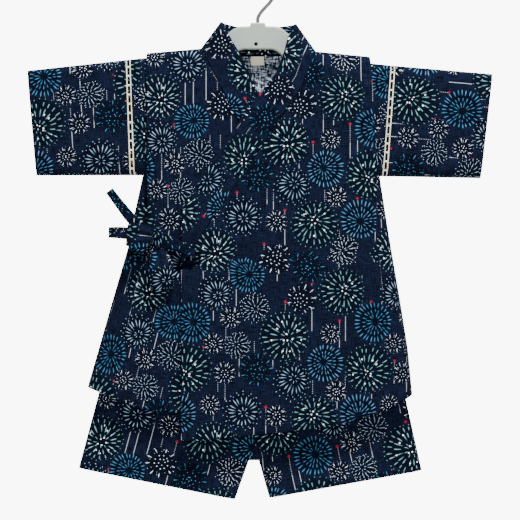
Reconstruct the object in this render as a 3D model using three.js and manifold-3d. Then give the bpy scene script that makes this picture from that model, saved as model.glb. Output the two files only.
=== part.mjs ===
// A child's jinbei set, a wrapped cotton jacket over matching shorts, on a flat hanger.
// Millimetres. +X is the viewer's right, -Y the front, +Z up; the origin is where a rail
// bears inside the hook. A "drop" is a distance below the hanger's top edge.
import * as THREE from "three";
import Module from "manifold-3d";
import { mergeVertices } from "three/addons/utils/BufferGeometryUtils.js";

// ---- driving dimensions ----
const hookRise = 53; // from the hanger's top edge up to the inside of the hook
const cloth = 1.2; // a panel's wall
const bandCloth = 2.2; // the collar, folded from four layers
const tieCloth = 2;
const seamGap = 0.3;
const foldRound = 12; // how far in from a closed edge the jacket rounds over
const shortsRound = 9;
const layerStep = 1.9; // from one layer of a tuck to the next
const overLift = 3.2; // the over front lies this far outside the under front
const laceWidth = 4.8;
const laceCloth = 1;
const slotLength = 6.2;
const slotWidth = 1.7;
const slotCount = 13;
const labelSize = { wide: 14, high: 9.5, thick: 1 };
const sleeveDepth = 8.5; // half a sleeve's depth at the cuff
const hangerThick = 9;
const hangerHole = 4.2;
const hookWire = 4;
const hookRadius = 17.5;

// Half of the jacket's depth, front to back, down its length
const bodyDepth = [
  { drop: -10, half: 12 },
  { drop: 60, half: 12.5 },
  { drop: 160, half: 15 },
  { drop: 260, half: 18.5 },
  { drop: 340, half: 18.5 },
  { drop: 450, half: 17 },
];

// The two sides. "out" is the distance from the centre line towards that side.
// tuck: fold is its outer edge, inner is where the cloth turns out again below it,
// and layers counts how many layers the strip outside it lies under the main cloth.
const leftSide = {
  sign: -1,
  neckTop: { out: 38.7, drop: -4.9 },
  shoulder: [
    { out: 60.3, drop: 24.3 },
    { out: 118.6, drop: 29.2 },
    { out: 250, drop: 43.5 },
  ],
  tuckStep: 4.8,
  lace: { top: { out: 139.6, drop: 36.4 }, bottom: { out: 135.1, drop: 160.4 } },
  cuff: { top: { out: 248.2, drop: 48.1 }, bottom: { out: 238.5, drop: 160.6 } },
  armpit: { out: 123.6, drop: 160.4 },
  seam: [
    { drop: 160.4, out: 123.6 },
    { drop: 202, out: 132.8 },
    { drop: 233, out: 138 },
    { drop: 295, out: 156.2 },
    { drop: 371, out: 178 },
    { drop: 389, out: 183.2 },
  ],
  tuck: [
    { drop: 20, fold: 118.6, inner: 100, layers: 2 },
    { drop: 150, fold: 118.2, inner: 100, layers: 2 },
    { drop: 186, fold: 118, inner: 104, layers: 3 },
    { drop: 215, fold: 118, inner: 112, layers: 2.6 },
    { drop: 252, fold: 119, inner: 125, layers: 1 },
    { drop: 330, fold: 124, inner: 140, layers: 0 },
    { drop: 450, fold: 134, inner: 152, layers: 0 },
  ],
};
const rightSide = {
  sign: 1,
  neckTop: { out: 40.2, drop: -2.7 },
  shoulder: [
    { out: 61.5, drop: 27.3 },
    { out: 118.7, drop: 32.9 },
    { out: 254, drop: 46.8 },
  ],
  tuckStep: 7,
  lace: { top: { out: 145.6, drop: 41.6 }, bottom: { out: 136.8, drop: 161.5 } },
  cuff: { top: { out: 252.9, drop: 51.8 }, bottom: { out: 240.2, drop: 163.6 } },
  armpit: { out: 131.2, drop: 161.5 },
  seam: [
    { drop: 161.5, out: 131.2 },
    { drop: 219, out: 140.2 },
    { drop: 305, out: 154.9 },
    { drop: 348, out: 161.7 },
    { drop: 397, out: 166.5 },
  ],
  tuck: [
    { drop: 20, fold: 118.7, inner: 102, layers: 2 },
    { drop: 76, fold: 123.3, inner: 104, layers: 2 },
    { drop: 133, fold: 125.5, inner: 107, layers: 2 },
    { drop: 161.5, fold: 125.5, inner: 110, layers: 2 },
    { drop: 190, fold: 125, inner: 117, layers: 1.6 },
    { drop: 225, fold: 124, inner: 129, layers: 1 },
    { drop: 290, fold: 124, inner: 134, layers: 0 },
    { drop: 450, fold: 134, inner: 148, layers: 0 },
  ],
};

// The seam that joins the collar to each front, down to the front's free edge
const underSeam = [
  { x: -60.3, drop: 24.3 },
  { x: -41.9, drop: 61 },
  { x: -23.5, drop: 97.7 },
  { x: 10.6, drop: 144.6 },
  { x: 36.5, drop: 183 },
  { x: 80, drop: 250 },
  { x: 82, drop: 262 },
  { x: 82, drop: 470 },
];
const overSeam = [
  { x: 61.5, drop: 27.3 },
  { x: 45.6, drop: 67.8 },
  { x: 19.7, drop: 106.3 },
  { x: -6.3, drop: 144.6 },
  { x: -32.2, drop: 183 },
  { x: -82.9, drop: 258.7 },
  { x: -82.4, drop: 270 },
  { x: -81.9, drop: 470 },
];
const backSeam = { left: 24.3, middle: 30.8, right: 27.3 };

const underHem = [
  { x: -183.2, drop: 388.8 },
  { x: -169.5, drop: 393.7 },
  { x: -153.1, drop: 400.1 },
  { x: -128.3, drop: 410.4 },
  { x: -108.9, drop: 414.5 },
  { x: -82.9, drop: 415.8 },
  { x: 90, drop: 417 },
];
const overHem = [
  { x: -81.9, drop: 445 },
  { x: -62.4, drop: 445.5 },
  { x: -31.1, drop: 441.7 },
  { x: 28.3, drop: 435.8 },
  { x: 82.3, drop: 429.8 },
  { x: 117.9, drop: 419 },
  { x: 140.6, drop: 410.9 },
  { x: 158.8, drop: 403.4 },
  { x: 166.5, drop: 396.9 },
];
const backHem = [
  { x: -183.2, drop: 388.8 },
  { x: -169.5, drop: 393 },
  { x: -110, drop: 411 },
  { x: 0, drop: 424 },
  { x: 110, drop: 416 },
  { x: 158.8, drop: 403 },
  { x: 166.5, drop: 396.9 },
];

// The collar's free edge (in) beside drops of its seamed edge (out), and across the back
const underCollar = [
  { outDrop: 43, inX: -26.5, inDrop: 18.5 },
  { outDrop: 60.8, inX: -18.1, inDrop: 31.9 },
  { outDrop: 79.2, inX: -9, inDrop: 51 },
  { outDrop: 97.4, inX: -2, inDrop: 68.1 },
  { outDrop: 117.6, inX: 14, inDrop: 90 },
  { outDrop: 144.3, inX: 30.2, inDrop: 112.4 },
  { outDrop: 182.6, inX: 45.4, inDrop: 134.5 },
  { outDrop: 219, inX: 71.5, inDrop: 175.5 },
  { outDrop: 249, inX: 87.3, inDrop: 199 },
];
const overCollar = [
  { outDrop: 42.6, inX: 32, inDrop: 14 },
  { outDrop: 66.9, inX: 27.2, inDrop: 31.9 },
  { outDrop: 86.3, inX: 19.7, inDrop: 50.2 },
  { outDrop: 105.7, inX: 3, inDrop: 72.6 },
  { outDrop: 125, inX: -11.2, inDrop: 91.5 },
  { outDrop: 153.5, inX: -25.9, inDrop: 112.4 },
  { outDrop: 182.2, inX: -41.1, inDrop: 134.5 },
  { outDrop: 227, inX: -67.4, inDrop: 175.5 },
  { outDrop: 257.4, inX: -82.7, inDrop: 198.5 },
];
const collarBack = [
  { inX: -22.9, inDrop: -1, outX: -44.3 },
  { inX: -12, inDrop: 0.6, outX: -22 },
  { inX: 0, inDrop: 1.5, outX: 0 },
  { inX: 10, inDrop: 0.8, outX: 22 },
  { inX: 19, inDrop: -0.4, outX: 45.5 },
];

// Shorts: outlines in the same frame, and where their middle lies front to back
const shortsWaist = { drop: 257, left: -134.5, right: 127.5 };
const shortsHem = {
  leftOuter: { x: -193.1, drop: 476.6 },
  leftInner: { x: -24.9, drop: 510.3 },
  rightInner: { x: 12.7, drop: 508.7 },
  rightOuter: { x: 176.8, drop: 479 },
};
const crotch = { left: -9.8, middle: -4.3, right: 1.3, drop: 468.5 };
const shortsDepth = [
  { drop: 230, half: 6, middle: 8.8 },
  { drop: 285, half: 7, middle: 8 },
  { drop: 400, half: 8.5, middle: 5 },
  { drop: 520, half: 9, middle: 3 },
];
const waistbandHeight = 24;

// The right half of the hanger's outline, from its top middle round to its bottom middle
const hangerHalf = [
  { x: 7.5, drop: -3.8 },
  { x: 8.6, drop: 0 },
  { x: 19.5, drop: 0.2 },
  { x: 26.5, drop: 3 },
  { x: 36, drop: 10.6 },
  { x: 45, drop: 19 },
  { x: 53, drop: 26.5 },
  { x: 61, drop: 32.4 },
  { x: 78, drop: 35.5 },
  { x: 98, drop: 39.5 },
  { x: 109, drop: 43.5 },
  { x: 114, drop: 48.5 },
  { x: 111, drop: 54 },
  { x: 98, drop: 54 },
  { x: 72, drop: 51 },
  { x: 52, drop: 47 },
  { x: 37, drop: 40 },
  { x: 27, drop: 32.2 },
  { x: 20, drop: 26.6 },
  { x: 15, drop: 25 },
];

// ---- small helpers ----
const mix = (a, b, t) => a + (b - a) * t;
const clamp = (v, low, high) => Math.min(high, Math.max(low, v));
const heightOf = (drop) => -hookRise - drop;

// A column of a table at a key, straight between its rows and held past its ends
function read(table, key, at, column) {
  const rows = [...table].sort((a, b) => a[key] - b[key]);
  const next = rows.findIndex((row) => row[key] >= at);
  if (next === 0) return rows[0][column];
  if (next < 0) return rows[rows.length - 1][column];
  const [low, high] = [rows[next - 1], rows[next]];
  return mix(low[column], high[column], (at - low[key]) / (high[key] - low[key]));
}

// A closed edge's rounding: none of the depth at the edge, all of it "round" further in
function rounding(inset, round) {
  const rest = 1 - clamp(inset / round, 0, 1);
  return Math.sqrt(1 - rest * rest);
}

// Insets that space points evenly round a closed edge's quarter turn
const turnInsets = (steps) =>
  Array.from({ length: steps + 1 }, (_, i) => 1 - Math.cos((i / steps) * Math.PI * 0.5));

// ---- the jacket's surface ----
const sideOf = (x) => (x < 0 ? leftSide : rightSide);

// The shoulder's fold line above a point, lower by the tuck's step for its under layers
function shoulderDrop(side, out, layers) {
  const line = read(side.shoulder, "out", out, "drop");
  return line + (side.tuckStep * Math.min(layers, 2)) / 2;
}

// How far a point lies inside the jacket's closed edges: the neck's side, the shoulder
// fold, the underarm and the side seam
function insetOf(x, drop, layers) {
  const side = sideOf(x);
  const out = Math.abs(x);
  const neck = side.shoulder[0];
  const along = new THREE.Vector2(neck.out - side.neckTop.out, neck.drop - side.neckTop.drop);
  along.normalize();
  const neckInset = (neck.out - out) * along.y + (drop - neck.drop) * along.x;
  const insets = [];
  if (out < neck.out) insets.push(neckInset);
  else insets.push(drop - shoulderDrop(side, out, layers));
  if (drop >= side.armpit.drop) {
    insets.push(read(side.seam, "drop", drop, "out") - out);
  } else {
    const beside = Math.max(0, side.armpit.out - out);
    insets.push(Math.hypot(beside, side.armpit.drop - drop));
  }
  return Math.max(0, Math.min(...insets));
}

// A point of the jacket's cloth. face is -1 on the front and 1 on the back, layers how far
// it lies under a tuck, and lift how far outside the plain body it lies
function jacketPoint(x, drop, face, layers = 0, lift = 0) {
  const depth = read(bodyDepth, "drop", drop, "half") - layers * layerStep + lift;
  const y = Math.max(seamGap, depth * rounding(insetOf(x, drop, layers), foldRound));
  return new THREE.Vector3(x, face * y, heightOf(drop));
}

// ---- walls ----
// A closed wall round a grid of middle points (rows of equal length). Each point moves out
// along the mean of its two neighbours' normals, lengthened at a sharp fold, by half the
// thickness each way. A closed grid joins its last column to its first. isOpen(row, column)
// leaves a cell out.
function wallGeometry(rows, thickness, { closed = false, isOpen = () => false } = {}) {
  const rowCount = rows.length;
  const columnCount = rows[0].length;
  const cellColumns = closed ? columnCount : columnCount - 1;
  const column = (c) => (c + columnCount) % columnCount;
  const cellNormal = (r, c) => {
    const [a, b] = [rows[r][c], rows[r][column(c + 1)]];
    const [d, e] = [rows[r + 1][c], rows[r + 1][column(c + 1)]];
    const across = new THREE.Vector3().subVectors(b, a).add(e).sub(d);
    const down = new THREE.Vector3().subVectors(d, a).add(e).sub(b);
    return across.cross(down).normalize();
  };
  const stripNormal = (r, c) => {
    if (!closed && (c < 0 || c >= cellColumns)) return null;
    const sum = new THREE.Vector3();
    if (r > 0) sum.add(cellNormal(r - 1, column(c)));
    if (r < rowCount - 1) sum.add(cellNormal(r, column(c)));
    return sum.normalize();
  };
  const moved = (r, c, distance) => {
    const before = stripNormal(r, c - 1) ?? stripNormal(r, c);
    const after = stripNormal(r, c) ?? before;
    const mitre = new THREE.Vector3().addVectors(before, after);
    mitre.divideScalar(1 + Math.max(-0.2, before.dot(after)));
    return rows[r][c].clone().addScaledVector(mitre, distance);
  };
  const points = [];
  for (const distance of [thickness / 2, -thickness / 2]) {
    for (let r = 0; r < rowCount; r += 1) {
      for (let c = 0; c < columnCount; c += 1) points.push(moved(r, c, distance));
    }
  }
  const outer = (r, c) => r * columnCount + column(c);
  const inner = (r, c) => outer(r, c) + rowCount * columnCount;
  const solid = (r, c) => {
    const inGrid = r >= 0 && r < rowCount - 1 && (closed || (c >= 0 && c < cellColumns));
    return inGrid && !isOpen(r, column(c));
  };
  const faces = [];
  const quad = (a, b, c, d) => faces.push(a, b, c, a, c, d);
  for (let r = 0; r < rowCount - 1; r += 1) {
    for (let c = 0; c < cellColumns; c += 1) {
      if (!solid(r, c)) continue;
      quad(outer(r, c), outer(r, c + 1), outer(r + 1, c + 1), outer(r + 1, c));
      quad(inner(r, c), inner(r + 1, c), inner(r + 1, c + 1), inner(r, c + 1));
      if (!solid(r - 1, c)) quad(outer(r, c + 1), outer(r, c), inner(r, c), inner(r, c + 1));
      if (!solid(r + 1, c)) {
        quad(outer(r + 1, c), outer(r + 1, c + 1), inner(r + 1, c + 1), inner(r + 1, c));
      }
      if (!solid(r, c - 1)) quad(outer(r, c), outer(r + 1, c), inner(r + 1, c), inner(r, c));
      if (!solid(r, c + 1)) {
        quad(outer(r + 1, c + 1), outer(r, c + 1), inner(r, c + 1), inner(r + 1, c + 1));
      }
    }
  }
  return facingOut(points, faces);
}

// A geometry from points and triangles, turned so that its faces point out
function facingOut(points, faces) {
  let volume = 0;
  for (let i = 0; i < faces.length; i += 3) {
    const [a, b, c] = [points[faces[i]], points[faces[i + 1]], points[faces[i + 2]]];
    volume += a.dot(new THREE.Vector3().crossVectors(b, c));
  }
  const turned = volume > 0 ? faces : [...faces].reverse();
  const geometry = new THREE.BufferGeometry().setFromPoints(points);
  geometry.setIndex(turned);
  geometry.computeVertexNormals();
  return geometry;
}

// ---- the scene graph ----
const model = new THREE.Group();
const finishes = {
  print: { color: "#16223f", roughness: 0.9, metalness: 0 },
  lace: { color: "#d8d2bf", roughness: 0.85, metalness: 0 },
  label: { color: "#ece6d2", roughness: 0.8, metalness: 0 },
  plastic: { color: "#b4bbb5", roughness: 0.35, metalness: 0 },
  wire: { color: "#b9bdc0", roughness: 0.25, metalness: 1 },
};

function addPiece(name, geometry, finish) {
  const mesh = new THREE.Mesh(geometry, new THREE.MeshStandardMaterial(finishes[finish]));
  mesh.name = name;
  model.add(mesh);
}

// ---- jacket panels ----
// Rows run from 0 at the shoulder through 1 at the underarm to 2 at the hem. The first
// five go round the shoulder's fold.
const shoulderRows = turnInsets(4).map((inset) => (inset * foldRound) / 130);
const rowLevels = [...shoulderRows, 0.2, 0.4, 0.6, 0.78, 0.87, 0.94, 1];
rowLevels.push(1.03, 1.08, 1.16, 1.26, 1.4, 1.6, 1.8, 2);
const cornerLevel = 0.94; // where the armhole ends and the underarm begins

function levelDrop(level, top, armpit, hem) {
  return level < 1 ? mix(top, armpit, level) : mix(armpit, hem, level - 1);
}

// The side's own edge: down the armhole, in along the underarm, and down the side seam
function sideEdge(side, level, hem) {
  const inner = (laceWidth / 2 + seamGap);
  const { top, bottom } = side.lace;
  const seamFoot = Math.min(read(hem, "x", side.sign * 400, "drop"), 470);
  if (level <= cornerLevel) {
    const down = level / cornerLevel;
    return {
      out: mix(top.out, bottom.out, down) - inner,
      drop: mix(shoulderDrop(side, top.out, 2), side.armpit.drop, down),
    };
  }
  if (level <= 1) {
    const along = (level - cornerLevel) / (1 - cornerLevel);
    return { out: mix(bottom.out - inner, side.armpit.out, along), drop: side.armpit.drop };
  }
  const drop = mix(side.armpit.drop, seamFoot, level - 1);
  return { out: read(side.seam, "drop", drop, "out"), drop };
}

// The strip outside a tuck and the tuck's own turns, from the side edge to the fold
const stripShares = [0, 0.03, 0.11, 0.24, 0.42, 0.7];
function tuckedColumns(side, level, top, hem, face) {
  const edge = sideEdge(side, level, hem);
  const nearDrop = levelDrop(level, top(side.sign * 110), side.armpit.drop, hemAt(hem, side, 110));
  const [fold, inner] = ["fold", "inner"].map((name) => read(side.tuck, "drop", nearDrop, name));
  const layers = read(side.tuck, "drop", nearDrop, "layers");
  const dropAt = (out, depth) => {
    const raised = top(side.sign * out) + (side.tuckStep * Math.min(depth, 2)) / 2;
    return levelDrop(level, raised, side.armpit.drop, hemAt(hem, side, out));
  };
  const innerDrop = dropAt(inner, layers);
  const strip = stripShares.map((share) => {
    const out = mix(edge.out, inner, share);
    return jacketPoint(side.sign * out, mix(edge.drop, innerDrop, share), face, layers);
  });
  const corner = (out, depth) => jacketPoint(side.sign * out, dropAt(out, depth), face, depth);
  const turns = [
    corner(inner, layers),
    corner(inner, layers / 2),
    corner(fold, layers / 2),
    corner(fold, 0),
  ];
  return { columns: [...strip, ...turns], fold };
}

const hemAt = (hem, side, out) => read(hem, "x", side.sign * out, "drop");
const shoulderTop = (x) => shoulderDrop(sideOf(x), Math.max(Math.abs(x), 60), 0);

// A front: its tucked strip, then the main cloth across to the collar's seam or free edge
const frontShares = [0.08, 0.2, 0.35, 0.5, 0.66, 0.82, 0.93, 1];
function frontRows(side, seam, hem, lift) {
  const neckDrop = side.shoulder[0].drop;
  const top = (x) => (x * side.sign > side.shoulder[0].out ? shoulderTop(x) : neckDrop);
  return rowLevels.map((level) => {
    const { columns, fold } = tuckedColumns(side, level, top, hem, -1);
    const endHem = read(hem, "x", seam[seam.length - 1].x, "drop");
    const endDrop = levelDrop(level, neckDrop, side.armpit.drop, endHem);
    const endX = read(seam, "drop", endDrop, "x");
    const main = frontShares.map((share) => {
      const x = mix(side.sign * fold, endX, share);
      const drop = levelDrop(level, top(x), side.armpit.drop, read(hem, "x", x, "drop"));
      const raised = lift * THREE.MathUtils.smoothstep(fold - side.sign * x, 2, 30);
      return jacketPoint(x, drop, -1, 0, raised);
    });
    return [...columns, ...main];
  });
}

// The back: both tucked strips and the main cloth between them, its top the collar's seam
function backNeckDrop(x) {
  const edge = x < 0 ? backSeam.left : backSeam.right;
  const share = clamp(Math.abs(x) / sideOf(x).shoulder[0].out, 0, 1);
  return mix(backSeam.middle, edge, share ** 3);
}

function backTop(x) {
  return Math.abs(x) > sideOf(x).shoulder[0].out ? shoulderTop(x) : backNeckDrop(x);
}

const neckTurns = turnInsets(4).map((inset) => inset * 16);
function backRows() {
  const neckColumns = (side) => neckTurns.map((inset) => side.shoulder[0].out - inset);
  return rowLevels.map((level) => {
    const sides = [leftSide, rightSide].map((side) => {
      const { columns, fold } = tuckedColumns(side, level, backTop, backHem, 1);
      const outs = [mix(fold, 60, 0.33), mix(fold, 60, 0.66), ...neckColumns(side), 22];
      const main = outs.map((out) => {
        const x = side.sign * out;
        const drop = levelDrop(level, backTop(x), side.armpit.drop, read(backHem, "x", x, "drop"));
        return jacketPoint(x, drop, 1);
      });
      return [...columns, ...main];
    });
    const middleDrop = levelDrop(
      level, backTop(0), leftSide.armpit.drop, read(backHem, "x", 0, "drop"));
    return [...sides[0], jacketPoint(0, middleDrop, 1), ...sides[1].reverse()];
  });
}

addPiece("back_panel", wallGeometry(backRows(), cloth), "print");
addPiece("under_front", wallGeometry(frontRows(leftSide, underSeam, underHem, 0), cloth), "print");
addPiece(
  "over_front", wallGeometry(frontRows(rightSide, overSeam, overHem, overLift), cloth), "print");

// ---- collar ----
const bandShares = [0, 0.33, 0.67, 1];
function collarStation({ inX, inDrop, outX, outDrop }, face, lift) {
  const across = new THREE.Vector2(outX - inX, outDrop - inDrop);
  const trim = 1 - (cloth / 2 + seamGap) / across.length();
  return bandShares.map((share) => {
    const [x, drop] = [inX + across.x * share * trim, inDrop + across.y * share * trim];
    return jacketPoint(x, drop, face, 0, lift);
  });
}

// The band's edges down one front, a station at each of the front's own rows
function collarFront(side, edges, seam, hem) {
  const neckDrop = side.shoulder[0].drop;
  const last = edges[edges.length - 1].outDrop;
  const endHem = read(hem, "x", seam[seam.length - 1].x, "drop");
  const drops = rowLevels.map((level) => levelDrop(level, neckDrop, side.armpit.drop, endHem));
  const stops = [...drops.filter((drop) => drop > edges[0].outDrop - 2 && drop < last - 4), last];
  return stops.map((outDrop) => ({
    inX: read(edges, "outDrop", outDrop, "inX"),
    inDrop: read(edges, "outDrop", outDrop, "inDrop"),
    outX: read(seam, "drop", outDrop, "x"),
    outDrop,
  }));
}

// Stations round a neck side, where the band passes from the front over to the back
function neckTurn(side, front, back, lift) {
  const { neckTop: tip, sign } = side;
  const foot = side.shoulder[0];
  const toward = (end, share) => ({
    inX: mix(sign * tip.out, end.inX, share),
    inDrop: mix(tip.drop, end.inDrop, share),
    outX: mix(sign * foot.out, end.outX, share),
    outDrop: mix(foot.drop, end.outDrop, share),
  });
  const shares = turnInsets(4).slice(1).map((inset) => inset * 0.8);
  const half = (end, face, raised) =>
    shares.map((share) => collarStation(toward(end, share), face, raised));
  const turn = collarStation(toward(front, 0), 0, 0);
  return { front: half(front, -1, lift).reverse(), turn, back: half(back, 1, 0) };
}

function collarRows() {
  const under = collarFront(leftSide, underCollar, underSeam, underHem);
  const over = collarFront(rightSide, overCollar, overSeam, overHem);
  const back = collarBack.map((row) => ({ ...row, outDrop: backNeckDrop(row.outX) }));
  const left = neckTurn(leftSide, under[0], back[0], 0);
  const right = neckTurn(rightSide, over[0], back[back.length - 1], overLift);
  return [
    ...under.map((row) => collarStation(row, -1, 0)).reverse(),
    ...left.front, left.turn, ...left.back,
    ...back.map((row) => collarStation(row, 1, 0)),
    ...right.back.reverse(), right.turn, ...right.front.reverse(),
    ...over.map((row) => collarStation(row, -1, overLift)),
  ];
}
addPiece("collar", wallGeometry(collarRows(), bandCloth), "print");

// ---- sleeves and ladder lace ----
// A sleeve's or lace's line round the arm at one station, from its top fold to its foot
const armShares = (length) => {
  const ends = turnInsets(3).map((inset) => (inset * foldRound) / length);
  return [...ends, 0.36, 0.64, ...ends.map((share) => 1 - share).reverse()];
};

function armPoint(side, top, bottom, share, face, reach) {
  const drop = mix(top.drop, bottom.drop, share);
  const x = side.sign * mix(top.out, bottom.out, share);
  const inset = Math.min(drop - top.drop, bottom.drop - drop);
  const armhole = read(bodyDepth, "drop", drop, "half") - 2 * layerStep;
  const depth = mix(armhole, sleeveDepth, reach);
  return new THREE.Vector3(x, face * depth * rounding(inset, foldRound), heightOf(drop));
}

const laceEdge = (side, end, offset) => ({
  out: side.lace[end].out + offset,
  drop: end === "top" ? shoulderDrop(side, side.lace.top.out + offset, 2) : side.armpit.drop,
});

function sleeveRows(side) {
  const start = laceWidth / 2 + seamGap;
  const shares = armShares(side.cuff.bottom.drop - side.cuff.top.drop);
  return [0, 0.12, 0.35, 0.6, 0.85, 1].map((reach) => {
    const between = (end) => ({
      out: mix(laceEdge(side, end, start).out, side.cuff[end].out, reach),
      drop: mix(laceEdge(side, end, start).drop, side.cuff[end].drop, reach),
    });
    const [top, bottom] = [between("top"), between("bottom")];
    const down = shares.map((share) => armPoint(side, top, bottom, share, -1, reach));
    const up = shares.slice(1, -1).map((share) => armPoint(side, top, bottom, share, 1, reach));
    return [...down, ...up.reverse()];
  });
}

// A ladder: two rails joined by bridges, with a slot cut through between each two bridges
function laceRows(side, face) {
  const columns = [-laceWidth / 2, -slotWidth / 2, slotWidth / 2, laceWidth / 2];
  const curves = columns.map((offset) => {
    const [top, bottom] = [laceEdge(side, "top", offset), laceEdge(side, "bottom", offset)];
    const steps = armShares(bottom.drop - top.drop);
    const points = steps.map((share) => armPoint(side, top, bottom, share, face, 0));
    for (const end of [points[0], points[points.length - 1]]) end.y = face * seamGap;
    return new THREE.CatmullRomCurve3(points, false, "centripetal");
  });
  const length = curves[1].getLength();
  const bridge = (length - slotCount * slotLength) / (slotCount + 1);
  const stops = Array.from({ length: slotCount }, (_, i) => {
    const start = bridge + i * (slotLength + bridge);
    return [start, start + slotLength];
  });
  return [0, ...stops.flat(), length].map((stop) =>
    curves.map((curve) => curve.getPointAt(clamp(stop / length, 0, 1))));
}

const isSlot = (row, column) => column === 1 && row % 2 === 1;
for (const [side, name] of [[leftSide, "left"], [rightSide, "right"]]) {
  addPiece(`sleeve_${name}`, wallGeometry(sleeveRows(side), cloth, { closed: true }), "print");
  for (const [face, half] of [[-1, "front"], [1, "back"]]) {
    const ladder = wallGeometry(laceRows(side, face), laceCloth, { isOpen: isSlot });
    addPiece(`lace_${name}_${half}`, ladder, "lace");
  }
}

// ---- shorts ----
// A point of the shorts, rounded over at their outer edge, crotch and inseams
function shortsInset(x, drop) {
  const { leftOuter, rightOuter, leftInner, rightInner } = shortsHem;
  const outer = (waist, hem) =>
    mix(waist, hem.x, (drop - shortsWaist.drop) / (hem.drop - shortsWaist.drop));
  const insets = [
    x - outer(shortsWaist.left, leftOuter), outer(shortsWaist.right, rightOuter) - x];
  if (drop > crotch.drop) {
    const inseam = (from, hem) => mix(from, hem.x, (drop - crotch.drop) / (hem.drop - crotch.drop));
    const left = inseam(crotch.left, leftInner) - x;
    const right = x - inseam(crotch.right, rightInner);
    insets.push(Math.max(left, right));
  } else {
    const beside = Math.max(0, crotch.left - x, x - crotch.right);
    insets.push(Math.hypot(beside, crotch.drop - drop));
  }
  return Math.max(0, Math.min(...insets));
}

function shortsPoint(x, drop, face) {
  const half = read(shortsDepth, "drop", drop, "half");
  const middle = read(shortsDepth, "drop", drop, "middle");
  const y = Math.max(seamGap, half * rounding(shortsInset(x, drop), shortsRound));
  return new THREE.Vector3(x, middle + face * y, heightOf(drop));
}

const legLevels = [0, 0.2, 0.4, 0.6, 0.78, 0.88, 0.94, 0.975, 1, 1.12, 1.3, 1.6, 2];
const legEdgeShares = [0, 0.006, 0.022, 0.055, 0.11];
const legShares = [...legEdgeShares, 0.33, 0.55, 0.8, 0.92, 0.965, 0.99, 1];
// The inner edge: down the middle seam, along under the crotch, and down the inseam
function legInner(sign, level) {
  const side = sign < 0 ? crotch.left : crotch.right;
  const hem = sign < 0 ? shortsHem.leftInner : shortsHem.rightInner;
  const middle = crotch.middle + (sign * (cloth + seamGap)) / 2;
  const turn = 0.94;
  const waist = shortsWaist.drop + waistbandHeight + seamGap;
  if (level <= turn) return { x: middle, drop: mix(waist, crotch.drop, level / turn) };
  if (level <= 1) return { x: mix(middle, side, (level - turn) / (1 - turn)), drop: crotch.drop };
  return { x: mix(side, hem.x, level - 1), drop: mix(crotch.drop, hem.drop, level - 1) };
}

function legRows(sign) {
  const waistX = sign < 0 ? shortsWaist.left : shortsWaist.right;
  const hem = sign < 0 ? shortsHem.leftOuter : shortsHem.rightOuter;
  const top = shortsWaist.drop + waistbandHeight + seamGap;
  return legLevels.map((level) => {
    const drop = mix(top, hem.drop, level / 2 + 0.12 * Math.sin(Math.PI * level * 0.5));
    const share = (drop - shortsWaist.drop) / (hem.drop - shortsWaist.drop);
    const outer = { x: mix(waistX, hem.x, share), drop };
    const inner = legInner(sign, level);
    const line = (face) => legShares.map((along) =>
      shortsPoint(mix(outer.x, inner.x, along), mix(outer.drop, inner.drop, along), face));
    const back = line(1);
    const front = line(-1);
    const fold = shortsPoint(outer.x, outer.drop, 0);
    return [...front.slice(1).reverse(), fold, ...back.slice(1)];
  });
}
addPiece("shorts_leg_left", wallGeometry(legRows(-1), cloth), "print");
addPiece("shorts_leg_right", wallGeometry(legRows(1), cloth), "print");

// The waistband: a casing ring above the legs
function waistbandRows() {
  const { drop: top, left, right } = shortsWaist;
  const turns = turnInsets(3).map((inset) => inset * shortsRound);
  const spread = [...turns, 45, 90];
  const xs = [...spread.map((in_) => left + in_), ...spread.map((in_) => right - in_).reverse()];
  return [0, 0.5, 1].map((share) => {
    const drop = top + waistbandHeight * share;
    const lean = (x) => mix(x, x * 1.022, share);
    const line = (face, list) => list.map((x) => {
      const point = shortsPoint(x, top, face);
      return new THREE.Vector3(lean(x), point.y, heightOf(drop));
    });
    const inside = xs.slice(1, -1);
    return [
      ...line(0, [left]), ...line(-1, inside), ...line(0, [right]), ...line(1, inside).reverse(),
    ];
  });
}
addPiece("shorts_waistband", wallGeometry(waistbandRows(), 1.8, { closed: true }), "print");

// ---- ties ----
const knot = { x: -106.5, drop: 227.5, out: -29, wide: 5.5, deep: 5, high: 11 };

// A flat strip along stations, each with its middle, its place in front and its width
function strip(stations, thickness) {
  const middle = (row) => new THREE.Vector3(row.x, row.out, heightOf(row.drop));
  const rows = stations.map((row, i) => {
    const before = middle(stations[Math.max(0, i - 1)]);
    const after = middle(stations[Math.min(stations.length - 1, i + 1)]);
    const ahead = after.sub(before);
    const across = new THREE.Vector3(-ahead.z, 0, ahead.x).normalize();
    return [-1, 0, 1].map((part) =>
      middle(row).addScaledVector(across, (part * row.wide) / 2));
  });
  return wallGeometry(rows, thickness);
}

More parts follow.
